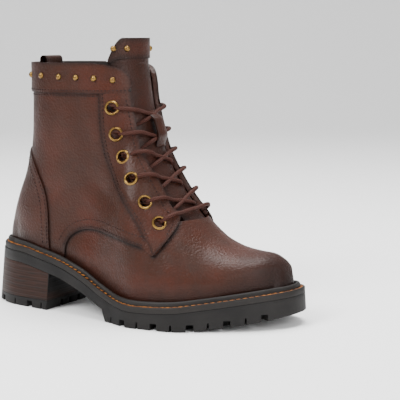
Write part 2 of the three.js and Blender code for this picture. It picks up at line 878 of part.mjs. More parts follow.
function notch(share, side, width, depth, place, out) {
  const [x, y] = loopPoint(place, share, side, out);
  const [xa, ya] = loopPoint(place, share, side, out - 5);
  const box = new THREE.BoxGeometry(2 * LUG_REACH, width, 2 * depth);
  box.rotateZ(Math.atan2(y - ya, x - xa));
  box.translate(x, y, floorHeight(x));
  return solid(box);
}

const FIRST_LUG = 0.515;
const LAST_LUG = 0.975;

function lugNotches() {
  const cuts = [];
  for (const side of [-1, 1]) {
    let share = FIRST_LUG;
    let wide = false;
    while (share < LAST_LUG) {
      cuts.push(notch(share, side, wide ? 2 * LUG_GROOVE : LUG_GROOVE, LUG_DEPTH, solePlace, 0));
      const [xa, ya] = solePlace(share, side);
      const [xb, yb] = solePlace(Math.min(share + 0.01, 0.999), side);
      share += (0.01 * LUG_PITCH) / Math.hypot(xb - xa, yb - ya);
      wide = !wide;
    }
  }
  return cuts;
}

// Cross grooves of the forepart's middle field
function fieldGrooves() {
  const cuts = [];
  const length = 0.4 * BALL_WIDTH;
  for (let x = FOREPART_START + 1.2 * LUG_PITCH; x < 0.9 * SOLE_LENGTH; x += LUG_PITCH) {
    for (const side of [-1, 1]) {
      const groove = new THREE.BoxGeometry(LUG_GROOVE, length / 2, 2 * LUG_DEPTH);
      groove.translate(0, (side * length) / 4, 0);
      groove.rotateZ(-side * 0.42);
      groove.translate(x, centreLine(x / SOLE_LENGTH), floorHeight(x));
      cuts.push(solid(groove));
    }
  }
  return cuts;
}

function makeOutsole() {
  let sole = soleBody().subtract(underBand());
  for (const cut of [...lugNotches(), ...fieldGrooves()]) sole = sole.subtract(cut);
  return sole;
}

function makeHeelBlock() {
  const top = bandLine(GAP).filter(([x]) => x < HEEL_BREAST - 2);
  top.push([HEEL_BREAST, bandHeight(HEEL_BREAST) - GAP]);
  return soleBody().intersect(bothSides([
    [-20, TOP_PIECE],
    [HEEL_BREAST - 1, TOP_PIECE],
    ...top.reverse(),
  ]));
}

function makeTopPiece() {
  const outline = [
    [-20, -1],
    [HEEL_BREAST - 2, -1],
    [HEEL_BREAST - 1, TOP_PIECE - GAP],
    [-20, TOP_PIECE - GAP],
  ];
  let piece = soleBody().intersect(bothSides(outline));
  for (const side of [-1, 1]) {
    for (const share of [0.012, 0.055, 0.115, 0.175, 0.225]) {
      piece = piece.subtract(notch(share, side, LUG_GROOVE, LUG_DEPTH, solePlace, SOLE_FLARE));
    }
  }
  for (const y of [-18, -6, 6, 18]) {
    const groove = new THREE.BoxGeometry(2 * LUG_REACH, LUG_GROOVE, 2 * LUG_DEPTH);
    groove.translate(HEEL_BREAST, y, 0);
    piece = piece.subtract(solid(groove));
  }
  return piece;
}

function makeWelt() {
  const inner = -4;
  const beadIn = (share) => BEAD_PLAY + QUARTER_STEP * (1 - ease(0.32, 0.38, share));
  const bead = (width) => (share) => beadIn(share) + width;
  return solid(hoopGeometry([
    planLoop(footPlace, inner, (x) => edgeHeight(x) - WELT_DEPTH),
    planLoop(footPlace, inner, edgeHeight),
    planLoop(footPlace, beadIn, edgeHeight),
    planLoop(footPlace, beadIn, (x) => edgeHeight(x) + 0.8 * BEAD_HEIGHT),
    planLoop(footPlace, bead(0.5 * BEAD_WIDTH), (x) => edgeHeight(x) + BEAD_HEIGHT),
    planLoop(footPlace, bead(BEAD_WIDTH), (x) => edgeHeight(x) + 0.55 * BEAD_HEIGHT),
    planLoop(footPlace, bead(1.1 * BEAD_WIDTH), edgeHeight),
    planLoop(solePlace, -0.6, edgeHeight),
    planLoop(solePlace, 0, (x) => edgeHeight(x) - 0.8),
    planLoop(solePlace, 0, (x) => edgeHeight(x) - WELT_DEPTH),
  ]));
}

function makeInsole() {
  const inset = -WALL - INSOLE_PLAY - 4;
  return solid(loftGeometry([
    planLoop(footPlace, inset, (x) => edgeHeight(x) - WELT_DEPTH + GAP),
    planLoop(footPlace, inset, (x) => edgeHeight(x) - WELT_DEPTH + INSOLE),
  ]));
}

// Tongue

const TONGUE_OUT = -WALL - TONGUE_PLAY;

function tongueOutline() {
  const side = 12;
  const edge = THROAT_EDGE.slice(1).map(([x, z]) => [x - side, z - 0.5 * side]).reverse();
  const foot = THROAT_EDGE[THROAT_EDGE.length - 1];
  return [
    [foot[0] + 16, foot[1] - 22],
    ...edge,
    [0.452 * SOLE_LENGTH, riseHeight(0.8)],
    [0.445 * SOLE_LENGTH, COLLAR_HEIGHT],
    [0.452 * SOLE_LENGTH, TONGUE_TOP - 7],
    [0.47 * SOLE_LENGTH, TONGUE_TOP - 2],
    [0.5 * SOLE_LENGTH, TONGUE_TOP],
    [COLLAR_FRONT + 30, TONGUE_TOP],
    [foot[0] + 40, foot[1] + 10],
  ];
}

function tongueShell(inner, outer) {
  const above = TONGUE_TOP - COLLAR_HEIGHT + 6;
  return form(outer, 0, above).subtract(form(inner, 12, above + 6));
}

function makeTongue() {
  return tongueShell(TONGUE_OUT - TONGUE_THICKNESS, TONGUE_OUT).intersect(bothSides(tongueOutline()));
}

const TONGUE_STUDS = [
  { along: 0.462, side: -1 },
  { along: 0.492, side: -1 },
  { along: 0.492, side: 1 },
  { along: 0.462, side: 1 },
];

function makeTongueCuff() {
  const band = tongueShell(TONGUE_OUT + GAP, TONGUE_OUT + GAP + OVERLAY);
  const above = bothSides([
    [-30, TONGUE_TOP - TONGUE_BAND],
    [FOOT_FRONT, TONGUE_TOP - TONGUE_BAND],
    [FOOT_FRONT, TONGUE_TOP + 20],
    [-30, TONGUE_TOP + 20],
  ]);
  return band.intersect(bothSides(tongueOutline())).intersect(above);
}

// Fastenings

function turned(profile, sides, matrix) {
  const geometry = new THREE.LatheGeometry(profile.map(([r, h]) => new THREE.Vector2(r, h)), sides);
  geometry.rotateX(Math.PI / 2);
  geometry.applyMatrix4(matrix);
  return solid(geometry);
}

// An eyelet, raised on its seat until its flange clears the facets of the eyestay
function makeEyelet(spot, side, eyestay) {
  const bottom = -(OVERLAY_OUT + SEAT_PLAY + WALL);
  const barrel = EYELET_BORE + BARREL_WALL;
  const profile = [
    [EYELET_BORE, bottom],
    [barrel, bottom],
    [barrel, 0],
    [EYELET_RADIUS, 0],
    [0.8 * EYELET_RADIUS, EYELET_LIP],
    [EYELET_BORE, 0.8 * EYELET_LIP],
    [EYELET_BORE, bottom],
  ];
  let made;
  for (let rise = SEAT_PLAY; rise < EYELET_LIP + SEAT_PLAY; rise += SEAT_PLAY) {
    made = turned(profile, EYELET_SIDES, roundSeat(spot, side, EYELET_RADIUS, OVERLAY_OUT + rise));
    if (made.intersect(eyestay).isEmpty()) break;
  }
  return made;
}

function makeStud(matrix) {
  const profile = [
    [0, 0],
    [STUD_RADIUS, 0],
    [0.8 * STUD_RADIUS, 0.65 * STUD_HEIGHT],
    [0, STUD_HEIGHT],
  ];
  return turned(profile, STUD_SIDES, matrix);
}

// Direction out of the crest in side view, near a height
function crestNormal(z) {
  const lean = (frontLine(z + 1) - frontLine(z - 1)) / 2;
  return new THREE.Vector3(1, 0, -lean).normalize();
}

const LACE_RADIUS = LACE_DIAMETER / 2;
const LACE_OVER = OVERLAY_OUT + 3 * EYELET_LIP + 4 * GAP + LACE_RADIUS;
const LACE_DIP = TONGUE_OUT + 3 * GAP + LACE_RADIUS;
const BAR_DIP = 2 * GAP + LACE_RADIUS;

// Points of the cord's path over the throat, from a lateral eyelet to a medial one
function lacePoints(from, to, dip = LACE_DIP) {
  const ends = [[from, -1], [to, 1]].map(([[x, z], side]) => {
    return new THREE.Vector3(x, surfaceY(x, z, side), z);
  });
  const points = [];
  for (let i = 0; i <= CORD_STEPS; i += 1) {
    const share = i / CORD_STEPS;
    const chord = ends[0].clone().lerp(ends[1], share);
    const ahead = crestNormal(chord.z + 8);
    let [near, far] = [0, 80];
    for (let step = 0; step < 24; step += 1) {
      const middle = (near + far) / 2;
      const tried = chord.clone().addScaledVector(ahead, middle);
      const offset = tried.y - centreLine(footShare(tried.x));
      const room = halfSquare(tried.x, tried.z, offset < 0 ? -1 : 1);
      if (tried.x < frontLine(tried.z) && offset ** 2 < room) near = middle;
      else far = middle;
    }
    const point = chord.addScaledVector(ahead, near);
    const side = point.y < centreLine(footShare(point.x)) ? -1 : 1;
    const fromEnd = Math.min(share, 1 - share);
    const out = LACE_OVER - (LACE_OVER - dip) * ease(0.18, 0.38, fromEnd);
    points.push(point.addScaledVector(surfaceNormal(point.x, point.z, side, false), out));
  }
  return points;
}

function cord(points, radius) {
  const shape = new THREE.Shape();
  for (let i = 0; i < CORD_SIDES; i += 1) {
    const turn = (2 * Math.PI * i) / CORD_SIDES;
    if (i === 0) shape.moveTo(radius, 0);
    else shape.lineTo(radius * Math.cos(turn), radius * Math.sin(turn));
  }
  shape.closePath();
  const path = new THREE.CatmullRomCurve3(points);
  return solid(new THREE.ExtrudeGeometry(shape, { steps: CORD_STEPS, extrudePath: path }));
}

// One joined solid: a bar at the bottom eyelets and a crossing for each pair above it
function makeLace() {
  const last = EYELETS.length - 1;
  const runs = [lacePoints(EYELETS[last], EYELETS[last], BAR_DIP)];
  for (let row = 0; row < last; row += 1) {
    runs.push(lacePoints(EYELETS[row], EYELETS[row + 1]));
    runs.push(lacePoints(EYELETS[row + 1], EYELETS[row]));
  }
  return wasm.Manifold.union(runs.map((points) => cord(points, LACE_RADIUS)));
}

// Strap standing off the tongue's ridge, over the second crossing
function makeKeeper() {
  const runs = [lacePoints(EYELETS[1], EYELETS[2]), lacePoints(EYELETS[2], EYELETS[1])];
  const middle = Math.floor(CORD_STEPS / 2);
  const crossing = (runs[0][middle].z + runs[1][middle + 1].z) / 2;
  const inner = [];
  const outer = [];
  const steps = 8;
  for (let i = 0; i <= steps; i += 1) {
    const share = i / steps;
    const z = crossing + KEEPER_LENGTH * (share - 0.5);
    const normal = crestNormal(z);
    const arch = (LACE_DIAMETER + 8 * GAP) * ease(0, 0.3, Math.min(share, 1 - share));
    const out = TONGUE_OUT + GAP + arch;
    const at = new THREE.Vector3(frontLine(z), 0, z).addScaledVector(normal, out);
    inner.push([at.x, at.z]);
    at.addScaledVector(normal, STRAP);
    outer.push([at.x, at.z]);
  }
  const centre = centreLine(footShare(frontLine(crossing)));
  return sidePrism([...inner, ...outer.reverse()], centre - KEEPER_WIDTH / 2, centre + KEEPER_WIDTH / 2);
}

// Folded strap inside the collar's back, open across for a finger
function makePullLoop() {
  const sagitta = LOOP_WIDTH ** 2 / (4 * SHAFT_WIDTH);
  const back = backLine(COLLAR_HEIGHT) + WALL + 2 * GAP + sagitta;
  const [top, bottom] = [COLLAR_HEIGHT + LOOP_RISE, COLLAR_HEIGHT + LOOP_RISE - LOOP_LENGTH];
  const fold = 2 * STRAP + LOOP_GAP;
  return sidePrism(
    [
      [back, bottom],
      [back, top - 0.5 * STRAP],
      [back + 0.5 * STRAP, top],
      [back + fold - 0.5 * STRAP, top],
      [back + fold, top - 0.5 * STRAP],
      [back + fold, bottom],
      [back + fold - STRAP, bottom],
      [back + fold - STRAP, top - STRAP],
      [back + STRAP, top - STRAP],
      [back + STRAP, bottom],
    ],
    -LOOP_WIDTH / 2,
    LOOP_WIDTH / 2,
  );
}

// Zip

const SLIDER_AT = 0.07;
const TEETH_FROM = 0.125;

function makeZipTape() {
  return shell(GAP, GAP + ZIP_TAPE).intersect(oneSide(zipStrip(ZIP_GAP / 2 - GAP, 0.01, 0.985), 1));
}

function makeZipTeeth() {
  const under = 2 * GAP + ZIP_TAPE;
  const strip = oneSide(zipStrip(TEETH_WIDTH / 2, TEETH_FROM, 0.96), 1);
  return shell(under, under + TEETH_HEIGHT).intersect(strip);
}

// The slider's place, with +Y down the zip and the pin across it
const sliderDown = new THREE.Vector3(
  zipLine(1)[0] - zipLine(0)[0],
  0,
  zipLine(1)[1] - zipLine(0)[1],
).normalize();
const sliderSeat = seatMatrix(zipLine(SLIDER_AT), 1, 3 * GAP + ZIP_TAPE, sliderDown);
const PIN_LIFT = SLIDER_DEPTH + PIN_RADIUS + PIN_PLAY + PULL_THICKNESS / 2 + GAP;
const pinPlace = new THREE.Vector3(0, -0.25 * SLIDER_LENGTH, PIN_LIFT).applyMatrix4(sliderSeat);
const pinAxis = new THREE.Vector3(1, 0, 0).transformDirection(sliderSeat);

function slab(width, length, depth, at) {
  const box = new THREE.BoxGeometry(width, length, depth);
  box.translate(...at);
  return solid(box);
}

function acrossRod(radius, length, at) {
  const rod = new THREE.CylinderGeometry(radius, radius, length, PIN_SIDES);
  rod.rotateZ(Math.PI / 2);
  rod.translate(...at);
  return solid(rod);
}

function seated(made, matrix) {
  return made.transform(matrix.elements);
}

function makeSlider() {
  const pinY = -0.25 * SLIDER_LENGTH;
  const earHeight = PIN_LIFT + PIN_RADIUS + GAP;
  const earX = (SLIDER_WIDTH - EAR_WIDTH) / 2;
  const shape = new THREE.Shape();
  const [half, long] = [SLIDER_WIDTH / 2, SLIDER_LENGTH / 2];
  const outline = [
    [-half, -long],
    [half, -long],
    [half, 0.2 * long],
    [0.6 * half, long],
    [-0.6 * half, long],
    [-half, 0.2 * long],
  ];
  shape.setFromPoints(outline.map(([x, y]) => new THREE.Vector2(x, y)));
  const body = solid(new THREE.ExtrudeGeometry(shape, { depth: SLIDER_DEPTH, bevelEnabled: false }));
  const ears = [-earX, earX].map((x) => {
    return slab(EAR_WIDTH, 3.2 * PIN_RADIUS, earHeight, [x, pinY, earHeight / 2]);
  });
  const pin = acrossRod(PIN_RADIUS, SLIDER_WIDTH - EAR_WIDTH, [0, pinY, PIN_LIFT]);
  return seated(body.add(ears[0]).add(ears[1]).add(pin), sliderSeat);
}

// Pull tab, hanging straight down from the pin at rest
function makePull() {
  const bore = (PIN_RADIUS + PIN_PLAY) / Math.cos(Math.PI / PIN_SIDES);
  const room = SLIDER_WIDTH - 2 * EAR_WIDTH - 2 * GAP;
  const ring = bore + 0.8;
  const neck = 0.35 * PULL_LENGTH;
  const eye = acrossRod(ring, room, [0, 0, 0]);
  const stem = slab(room, neck, PULL_THICKNESS, [0, neck / 2, 0]);
  const blade = slab(PULL_WIDTH, PULL_LENGTH - neck, PULL_THICKNESS, [0, (PULL_LENGTH + neck) / 2, 0]);
  const hole = acrossRod(bore, 2 * room, [0, 0, 0]);
  const down = new THREE.Vector3(0, 0, -1);
  const along = down.addScaledVector(pinAxis, -down.dot(pinAxis)).normalize();
  const out = new THREE.Vector3().crossVectors(pinAxis, along);
  const hanging = new THREE.Matrix4().makeBasis(pinAxis, along, out).setPosition(pinPlace);
  return seated(eye.add(stem).add(blade).subtract(hole), hanging);
}

const stone = { roughness: 0.85, metalness: 0 };
const RUBBER = { color: 0x33302e, ...stone };
const LEATHER = { color: 0x55332b, roughness: 0.45, metalness: 0 };
const BRASS = { color: 0xa8834a, roughness: 0.35, metalness: 1 };
const DARK_METAL = { color: 0x4a4540, roughness: 0.4, metalness: 1 };

const group = new THREE.Group();
group.position.x = -(HEEL_BREAST - 2 - SOLE_FLARE) / 2;

function place(name, made, look) {
  const mesh = new THREE.Mesh(geometryOf(made), new THREE.MeshStandardMaterial(look));
  mesh.name = name;
  group.add(mesh);
}

place('outsole', makeOutsole(), RUBBER);
place('welt', makeWelt(), RUBBER);
place('heel_block', makeHeelBlock(), { color: 0x4a3028, roughness: 0.6, metalness: 0 });
place('heel_top_piece', makeTopPiece(), RUBBER);
place('insole', makeInsole(), { color: 0x2a2624, roughness: 0.9, metalness: 0 });
place('upper', makeUpper(), LEATHER);
place('tongue', makeTongue(), LEATHER);
place('cuff', makeCuff(), LEATHER);
place('cuff_front', makeCuffFront(), LEATHER);
place('counter', makeCounter(), LEATHER);
place('tongue_cuff', makeTongueCuff(), LEATHER);
for (const side of [-1, 1]) {
  const name = sideName(side);
  const eyestay = overlay(oneSide(eyestayOutline(), side)).subtract(eyeletHoles(side));
  place(`eyestay_${name}`, eyestay, LEATHER);
  EYELETS.forEach((spot, i) => {
    place(`eyelet_${name}_${i + 1}`, makeEyelet(spot, side, eyestay), BRASS);
  });
  CUFF_STUDS[name].forEach((spot, i) => {
    place(`cuff_stud_${name}_${i + 1}`, makeStud(seatMatrix(spot, side, OVERLAY_OUT + SEAT_PLAY)), BRASS);
  });
}
TONGUE_STUDS.forEach(({ along, side }, i) => {
  const spot = [along * SOLE_LENGTH, TONGUE_TOP - TONGUE_BAND / 2];
  const seat = seatMatrix(spot, side, TONGUE_OUT + GAP + OVERLAY + SEAT_PLAY);
  place(`tongue_stud_${i + 1}`, makeStud(seat), BRASS);
});
place('lace', makeLace(), { color: 0x5e3a30, roughness: 0.8, metalness: 0 });
place('lace_keeper', makeKeeper(), LEATHER);
place('pull_loop', makePullLoop(), LEATHER);
place('zip_tape', makeZipTape(), { color: 0x1c1a1a, roughness: 0.9, metalness: 0 });
place('zip_teeth', makeZipTeeth(), { color: 0x171515, roughness: 0.5, metalness: 0 });
place('zip_slider', makeSlider(), DARK_METAL);
place('zip_pull', makePull(), DARK_METAL);

export default group;
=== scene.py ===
"""Visual model of one right lace up ankle boot, dressed over its CAD solids.

Sizes in the classes are millimetres. Stations run from the back end of the sole towards the
toe, side -1 is lateral and side +1 is medial. Meshes are made in metres in the part's frame.
"""

import logging
import math
from dataclasses import dataclass
from enum import Enum

import bmesh
import bpy
import numpy as np
from mathutils import Matrix, Vector

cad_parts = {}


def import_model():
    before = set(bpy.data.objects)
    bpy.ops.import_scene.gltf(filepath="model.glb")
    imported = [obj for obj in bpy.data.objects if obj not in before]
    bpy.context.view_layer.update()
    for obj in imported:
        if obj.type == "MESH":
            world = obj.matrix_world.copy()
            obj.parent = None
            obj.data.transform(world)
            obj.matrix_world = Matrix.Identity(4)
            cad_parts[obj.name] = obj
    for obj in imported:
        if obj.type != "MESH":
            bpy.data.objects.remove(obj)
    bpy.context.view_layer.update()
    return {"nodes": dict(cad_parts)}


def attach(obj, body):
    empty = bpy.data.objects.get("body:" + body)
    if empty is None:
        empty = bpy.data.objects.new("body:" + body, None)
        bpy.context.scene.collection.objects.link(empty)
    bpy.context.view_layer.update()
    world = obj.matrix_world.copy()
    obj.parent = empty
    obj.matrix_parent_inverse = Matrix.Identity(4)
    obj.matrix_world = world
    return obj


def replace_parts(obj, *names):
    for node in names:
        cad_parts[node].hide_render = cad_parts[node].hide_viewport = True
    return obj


LOG = logging.getLogger("boot")
MM = 0.001
ORIGIN_STATION = 30.25
SHARP_EDGE = math.radians(38.0)
# Faces wider than this are slips of the rounding, not leather
WIDEST_FACE = 12.0 * MM
RIM_EDGE = math.radians(55.0)
BODY = "boot"

# Directions of the surface are read no higher than this, just under the collar
NORMAL_TOP = 200.0
# The same for stitches, fittings and lace
FITTING_TOP = 199.0

Array = np.ndarray
Piece = bpy.types.Object
Sheet = bmesh.types.BMesh
Socket = bpy.types.NodeSocket
Tree = bpy.types.NodeTree


class Shade(Enum):
    """Colours read from the photograph, as sRGB hex."""

    LEATHER = "#2b150c"
    LEATHER_RED = "#3a1a10"
    # Dark end of the leather's burnishing and painted shade; also in the thread.
    LEATHER_DARK = "#0c0605"
    # Grey of the sheen painted onto the leather in patches.
    LEATHER_SHEEN_GREY = "#261814"
    LINING = "#2b2422"
    RUBBER = "#191716"
    RUBBER_DARK = "#100f0f"
    BEAD = "#1f1c1a"
    STACK = "#130c09"
    STACK_LINE = "#25150f"
    THREAD = "#2a1714"
    MUSTARD = "#a0601f"
    BRASS = "#6e5330"
    STUD = "#7f6534"
    STEEL = "#57524c"
    LACE = "#40211a"
    # Painted shade between the lace's strands.
    LACE_STRAND_SHADE = "#22110c"
    TAPE = "#141313"
    FLOOR = "#f4f4f4"


def linear(shade: Shade) -> tuple[float, float, float, float]:
    """Turn an sRGB hex colour into linear RGBA.

    Args:
        shade: the colour.

    Returns:
        Linear red, green, blue and an alpha of one.
    """
    parts = [int(shade.value[i : i + 2], 16) / 255.0 for i in (1, 3, 5)]
    flat = [p / 12.92 if p <= 0.04045 else ((p + 0.055) / 1.055) ** 2.4 for p in parts]
    return (flat[0], flat[1], flat[2], 1.0)


def ease(low: float, high: float, x: Array) -> Array:
    """Smooth step from 0 at low to 1 at high."""
    s = np.clip((np.asarray(x, float) - low) / (high - low), 0.0, 1.0)
    return s * s * (3.0 - 2.0 * s)


class Curve:
    """Monotone cubic curve through a table, held level past its ends."""

    def __init__(self, at: list[float], value: list[float]) -> None:
        """Keep the table and work out its slopes.

        Args:
            at: rising places.
            value: the value at each place.
        """
        self.at = np.asarray(at, float)
        self.value = np.asarray(value, float)
        self.run = np.diff(self.at)
        rate = np.diff(self.value) / self.run
        before = 2 * self.run[1:] + self.run[:-1]
        after = self.run[1:] + 2 * self.run[:-1]
        turning = rate[:-1] * rate[1:] <= 0
        safe = np.where(turning, 1.0, rate[:-1]), np.where(turning, 1.0, rate[1:])
        middle = (before + after) / (before / safe[0] + after / safe[1])
        self.slope = np.concatenate([[rate[0]], np.where(turning, 0.0, middle), [rate[-1]]])

    def __call__(self, x: Array) -> Array:
        """Value of the curve at the given places."""
        p = np.clip(x, self.at[0], self.at[-1])
        i = np.clip(np.searchsorted(self.at, p, side="right") - 1, 0, len(self.run) - 1)
        run = self.run[i]
        s = (p - self.at[i]) / run
        low = self.value[i] * (1 + 2 * s) * (1 - s) ** 2 + self.slope[i] * run * s * (1 - s) ** 2
        high = self.value[i + 1] * s * s * (3 - 2 * s) - self.slope[i + 1] * run * s * s * (1 - s)
        return low + high


OUTLINE = [
    (0, 0, 0), (0.035, 0.2, 0.2), (0.11, 0.303, 0.303), (0.2, 0.335, 0.335), (0.3, 0.37, 0.325),
    (0.4, 0.43, 0.3), (0.5, 0.52, 0.315), (0.6, 0.615, 0.365), (0.7, 0.615, 0.395),
    (0.8, 0.525, 0.385), (0.88, 0.425, 0.34), (0.94, 0.315, 0.26), (0.98, 0.19, 0.155), (1, 0, 0),
]
EDGE = [
    (0, 0, 0), (0.12, 0.02, 0), (0.2, 0.13, 0), (0.29, 0.28, 0), (0.37, 0.49, 0), (0.46, 0.79, 0),
    (0.53, 0.955, 0), (0.61, 1, 0), (0.716, 1, 0.12), (0.787, 1, 0.33), (0.86, 1, 0.58),
    (0.925, 1, 0.8), (1, 1, 1),
]
BACK_LINE = [
    (0, 0), (0.05, 0.03), (0.13, 0.14), (0.265, 0.38), (0.4, 0.68), (0.53, 0.86), (0.66, 0.95),
    (0.83, 0.99), (1, 1),
]
SHAFT = [(0, 0.388), (0.165, 0.395), (0.33, 0.412), (0.53, 0.45), (0.73, 0.485), (1, 0.5)]
CREST = [
    (0, 1), (0.022, 0.912), (0.043, 0.822), (0.082, 0.72), (0.132, 0.633), (0.201, 0.538),
    (0.273, 0.462), (0.364, 0.375), (0.463, 0.297), (0.561, 0.238), (0.66, 0.2), (0.766, 0.175),
    (0.865, 0.157), (0.93, 0.127),
]


@dataclass
class Last:
    """Form of the upper and the plan and heights of the sole, worked out from named sizes."""

    sole_length: float = 268.0
    ball_width: float = 100.0
    toe_swing: float = 20.6
    seat: float = 50.0
    tread: float = 17.0
    toe_spring: float = 12.0
    tread_spring: float = 10.5
    collar: float = 201.0
    collar_front: float = 138.0
    shaft_lean: float = 29.0
    shaft_width: float = 68.0
    foot_back: float = 7.5
    toe_ledge: float = 8.0
    welt_ledge: float = 7.0
    end_round: float = 24.0
    shoulder: float = 9.0
    heel_round: float = 34.0
    front_round: float = 42.0
    section_power: float = 1.12
    fore_station: float = 92.0
    fore_height: float = 70.0

    def __post_init__(self) -> None:
        """Work out the curves that the tables stand for."""
        along = [row[0] for row in OUTLINE]
        self.squares = {
            side: Curve(along, [(row[i] * self.ball_width) ** 2 for row in OUTLINE])
            for i, side in ((1, -1), (2, 1))
        }
        self.drop = Curve([row[0] for row in EDGE], [row[1] for row in EDGE])
        self.spring = Curve([row[0] for row in EDGE], [row[2] for row in EDGE])
        self.lean = Curve(*map(list, zip(*BACK_LINE)))
        self.half = Curve(*map(list, zip(*SHAFT)))
        self.foot_front = self.sole_length - self.toe_ledge
        self.crest_run = self.foot_front - self.collar_front
        self.shaft_rise = self.collar - self.seat
        self.crest_rise = self.collar - float(self.edge_height(self.collar_front))
        squares = [(row[1] * self.crest_rise) ** 2 for row in CREST] + [0.0]
        self.crest_squares = Curve([row[0] for row in CREST] + [1.0], squares)
        stations = np.linspace(self.collar_front, self.collar_front + 0.7 * self.crest_run, 1600)
        self.front_table = (self.edge_height(stations) + self.crest_height(stations), stations)
        walk = self.foot_front - self.crest_run * np.linspace(0, 1, 600) ** 1.6
        rise = self.edge_height(walk) + self.crest_height(walk)
        length = np.concatenate([[0.0], np.cumsum(np.hypot(np.diff(walk), np.diff(rise)))])
        self.crest_table = (length / length[-1], walk, rise)

    def centre(self, share: Array) -> Array:
        """Y of the centre line at a share of the length."""
        return self.toe_swing * np.maximum((np.asarray(share, float) - 0.3) / 0.7, 0.0) ** 1.7

    def sole_half(self, share: Array, side: Array) -> Array:
        """Half width of the sole's top edge."""
        squares = np.where(np.asarray(side) < 0, self.squares[-1](share), self.squares[1](share))
        return np.sqrt(np.maximum(squares, 0.0))

    def foot_share(self, x: Array) -> Array:
        """Share of the foot's length at a station."""
        return np.clip((x - self.foot_back) / (self.foot_front - self.foot_back), 0.0, 1.0)

    def foot_half(self, share: Array, side: Array) -> Array:
        """Half width of the upper where it meets the welt."""
        half = self.sole_half(share, side)
        return half - self.welt_ledge * np.minimum(half / self.end_round, 1.0) ** 2

    def edge_height(self, x: Array) -> Array:
        """Height of the sole's top edge."""
        share = np.asarray(x, float) / self.sole_length
        return self.seat - (self.seat - self.tread) * self.drop(share) + self.toe_spring * self.spring(share)

    def floor_height(self, x: Array) -> Array:
        """Height of the tread, which springs up under the toe."""
        share = np.asarray(x, float) / self.sole_length
        return self.tread_spring * np.maximum((share - 0.74) / 0.26, 0.0) ** 1.35

    def back_line(self, z: Array) -> Array:
        """Station of the heel's back at a height."""
        rise = (np.asarray(z, float) - self.seat) / self.shaft_rise
        return self.foot_back + self.shaft_lean * self.lean(rise)

    def crest_height(self, x: Array) -> Array:
        """Height of the crest above the sole's edge."""
        along = (np.asarray(x, float) - self.collar_front) / self.crest_run
        return np.sqrt(np.maximum(self.crest_squares(along), 0))

    def front_line(self, z: Array) -> Array:
        """Station of the crest at a height."""
        heights, stations = self.front_table
        return np.interp(z, heights[::-1], stations[::-1])

    def crest_end(self, level: float) -> tuple[float, float]:
        """Station and height of a ring's front end."""
        shares, walk, rise = self.crest_table
        return float(np.interp(level, shares, walk)), float(np.interp(level, shares, rise))

    def half_square(self, x: Array, z: Array, side: Array) -> Array:
        """Half width of the upper squared, at a station and height.

        Args:
            x: stations.
            z: heights.
            side: -1 or 1 for each point.

        Returns:
            The squares, which run below zero outside the form.
        """
        rise = z - self.edge_height(x)
        tuck = 1.0 - 0.06 * (1.0 - ease(4.0, 16.0, rise))
        crest = self.crest_height(x)
        shoulder = np.minimum(self.shoulder, 0.5 * crest)
        over = np.maximum(rise - shoulder, 0.0) ** 2
        room = np.maximum(crest - shoulder, 0.5) ** 2
        fore = self.foot_half(self.foot_share(x), side) ** 2 * (1.0 - (over / room) ** self.section_power)
        width = self.shaft_width * self.half((z - self.seat) / self.shaft_rise)
        back = np.minimum((x - self.back_line(z)) / self.heel_round, 1.0)
        front = np.minimum((self.front_line(z) - x) / self.front_round, 1.0)
        shaft = width**2 * (1.0 - (1.0 - back) ** 2) * (1.0 - (1.0 - front) ** 2)
        seat = self.foot_half(self.foot_share(x - self.back_line(z) + self.foot_back), side) ** 2
        rear = seat + (shaft - seat) * ease(4.0, 34.0, rise)
        ahead = (x - self.fore_station) * 0.8 - (z - self.fore_height) * 0.55
        blend = ease(-8.0, 36.0, ahead)
        return tuck * ((1.0 - blend) * rear + blend * fore)

    def surface_y(self, x: Array, z: Array, side: Array) -> Array:
        """Y of the surface at a station, height and side."""
        half = np.sqrt(np.maximum(self.half_square(x, z, side), 0.0))
        return self.centre(self.foot_share(x)) + side * half

    def normal(self, x: Array, z: Array, side: Array, span: float = 0.6) -> Array:
        """Outward directions of the surface, level at the feather edge and the collar."""
        y = self.surface_y(x, z, side) - self.centre(self.foot_share(x))
        gx = (self.half_square(x + span, z, side) - self.half_square(x - span, z, side)) / (2 * span)
        gz = (self.half_square(x, z + span, side) - self.half_square(x, z - span, side)) / (2 * span)
        swing = (self.centre(self.foot_share(x + span)) - self.centre(self.foot_share(x - span))) / (2 * span)
        level = ease(0.0, 5.0, z - self.edge_height(x)) * (1.0 - ease(188.0, 199.0, z))
        found = np.stack([-gx - 2 * y * swing, 2 * y, -gz * level], axis=-1)
        length = np.linalg.norm(found, axis=-1, keepdims=True)
        return found / np.maximum(length, 1e-9)

    def relief(self, x: Array, z: Array, side: Array) -> Array:
        """Soft troughs and ridges of leather creased by wear, placed one by one.

        Args:
            x: stations.
            z: heights.
            side: -1 or 1 for each point.

        Returns:
            Steps along the normal.
        """
        found = np.zeros(np.broadcast(x, z, side).shape)
        for fold in FOLDS:
            along = (x - fold.x) * math.cos(fold.turn) + (z - fold.z) * math.sin(fold.turn)
            across = -(x - fold.x) * math.sin(fold.turn) + (z - fold.z) * math.cos(fold.turn)
            across = across - fold.bow * along**2 / fold.length
            shape = np.exp(-((along / fold.length) ** 2)) * np.exp(-((across / fold.width) ** 2))
            found = found + fold.depth * shape * (1.0 if fold.both else (side == fold.side))
        return found

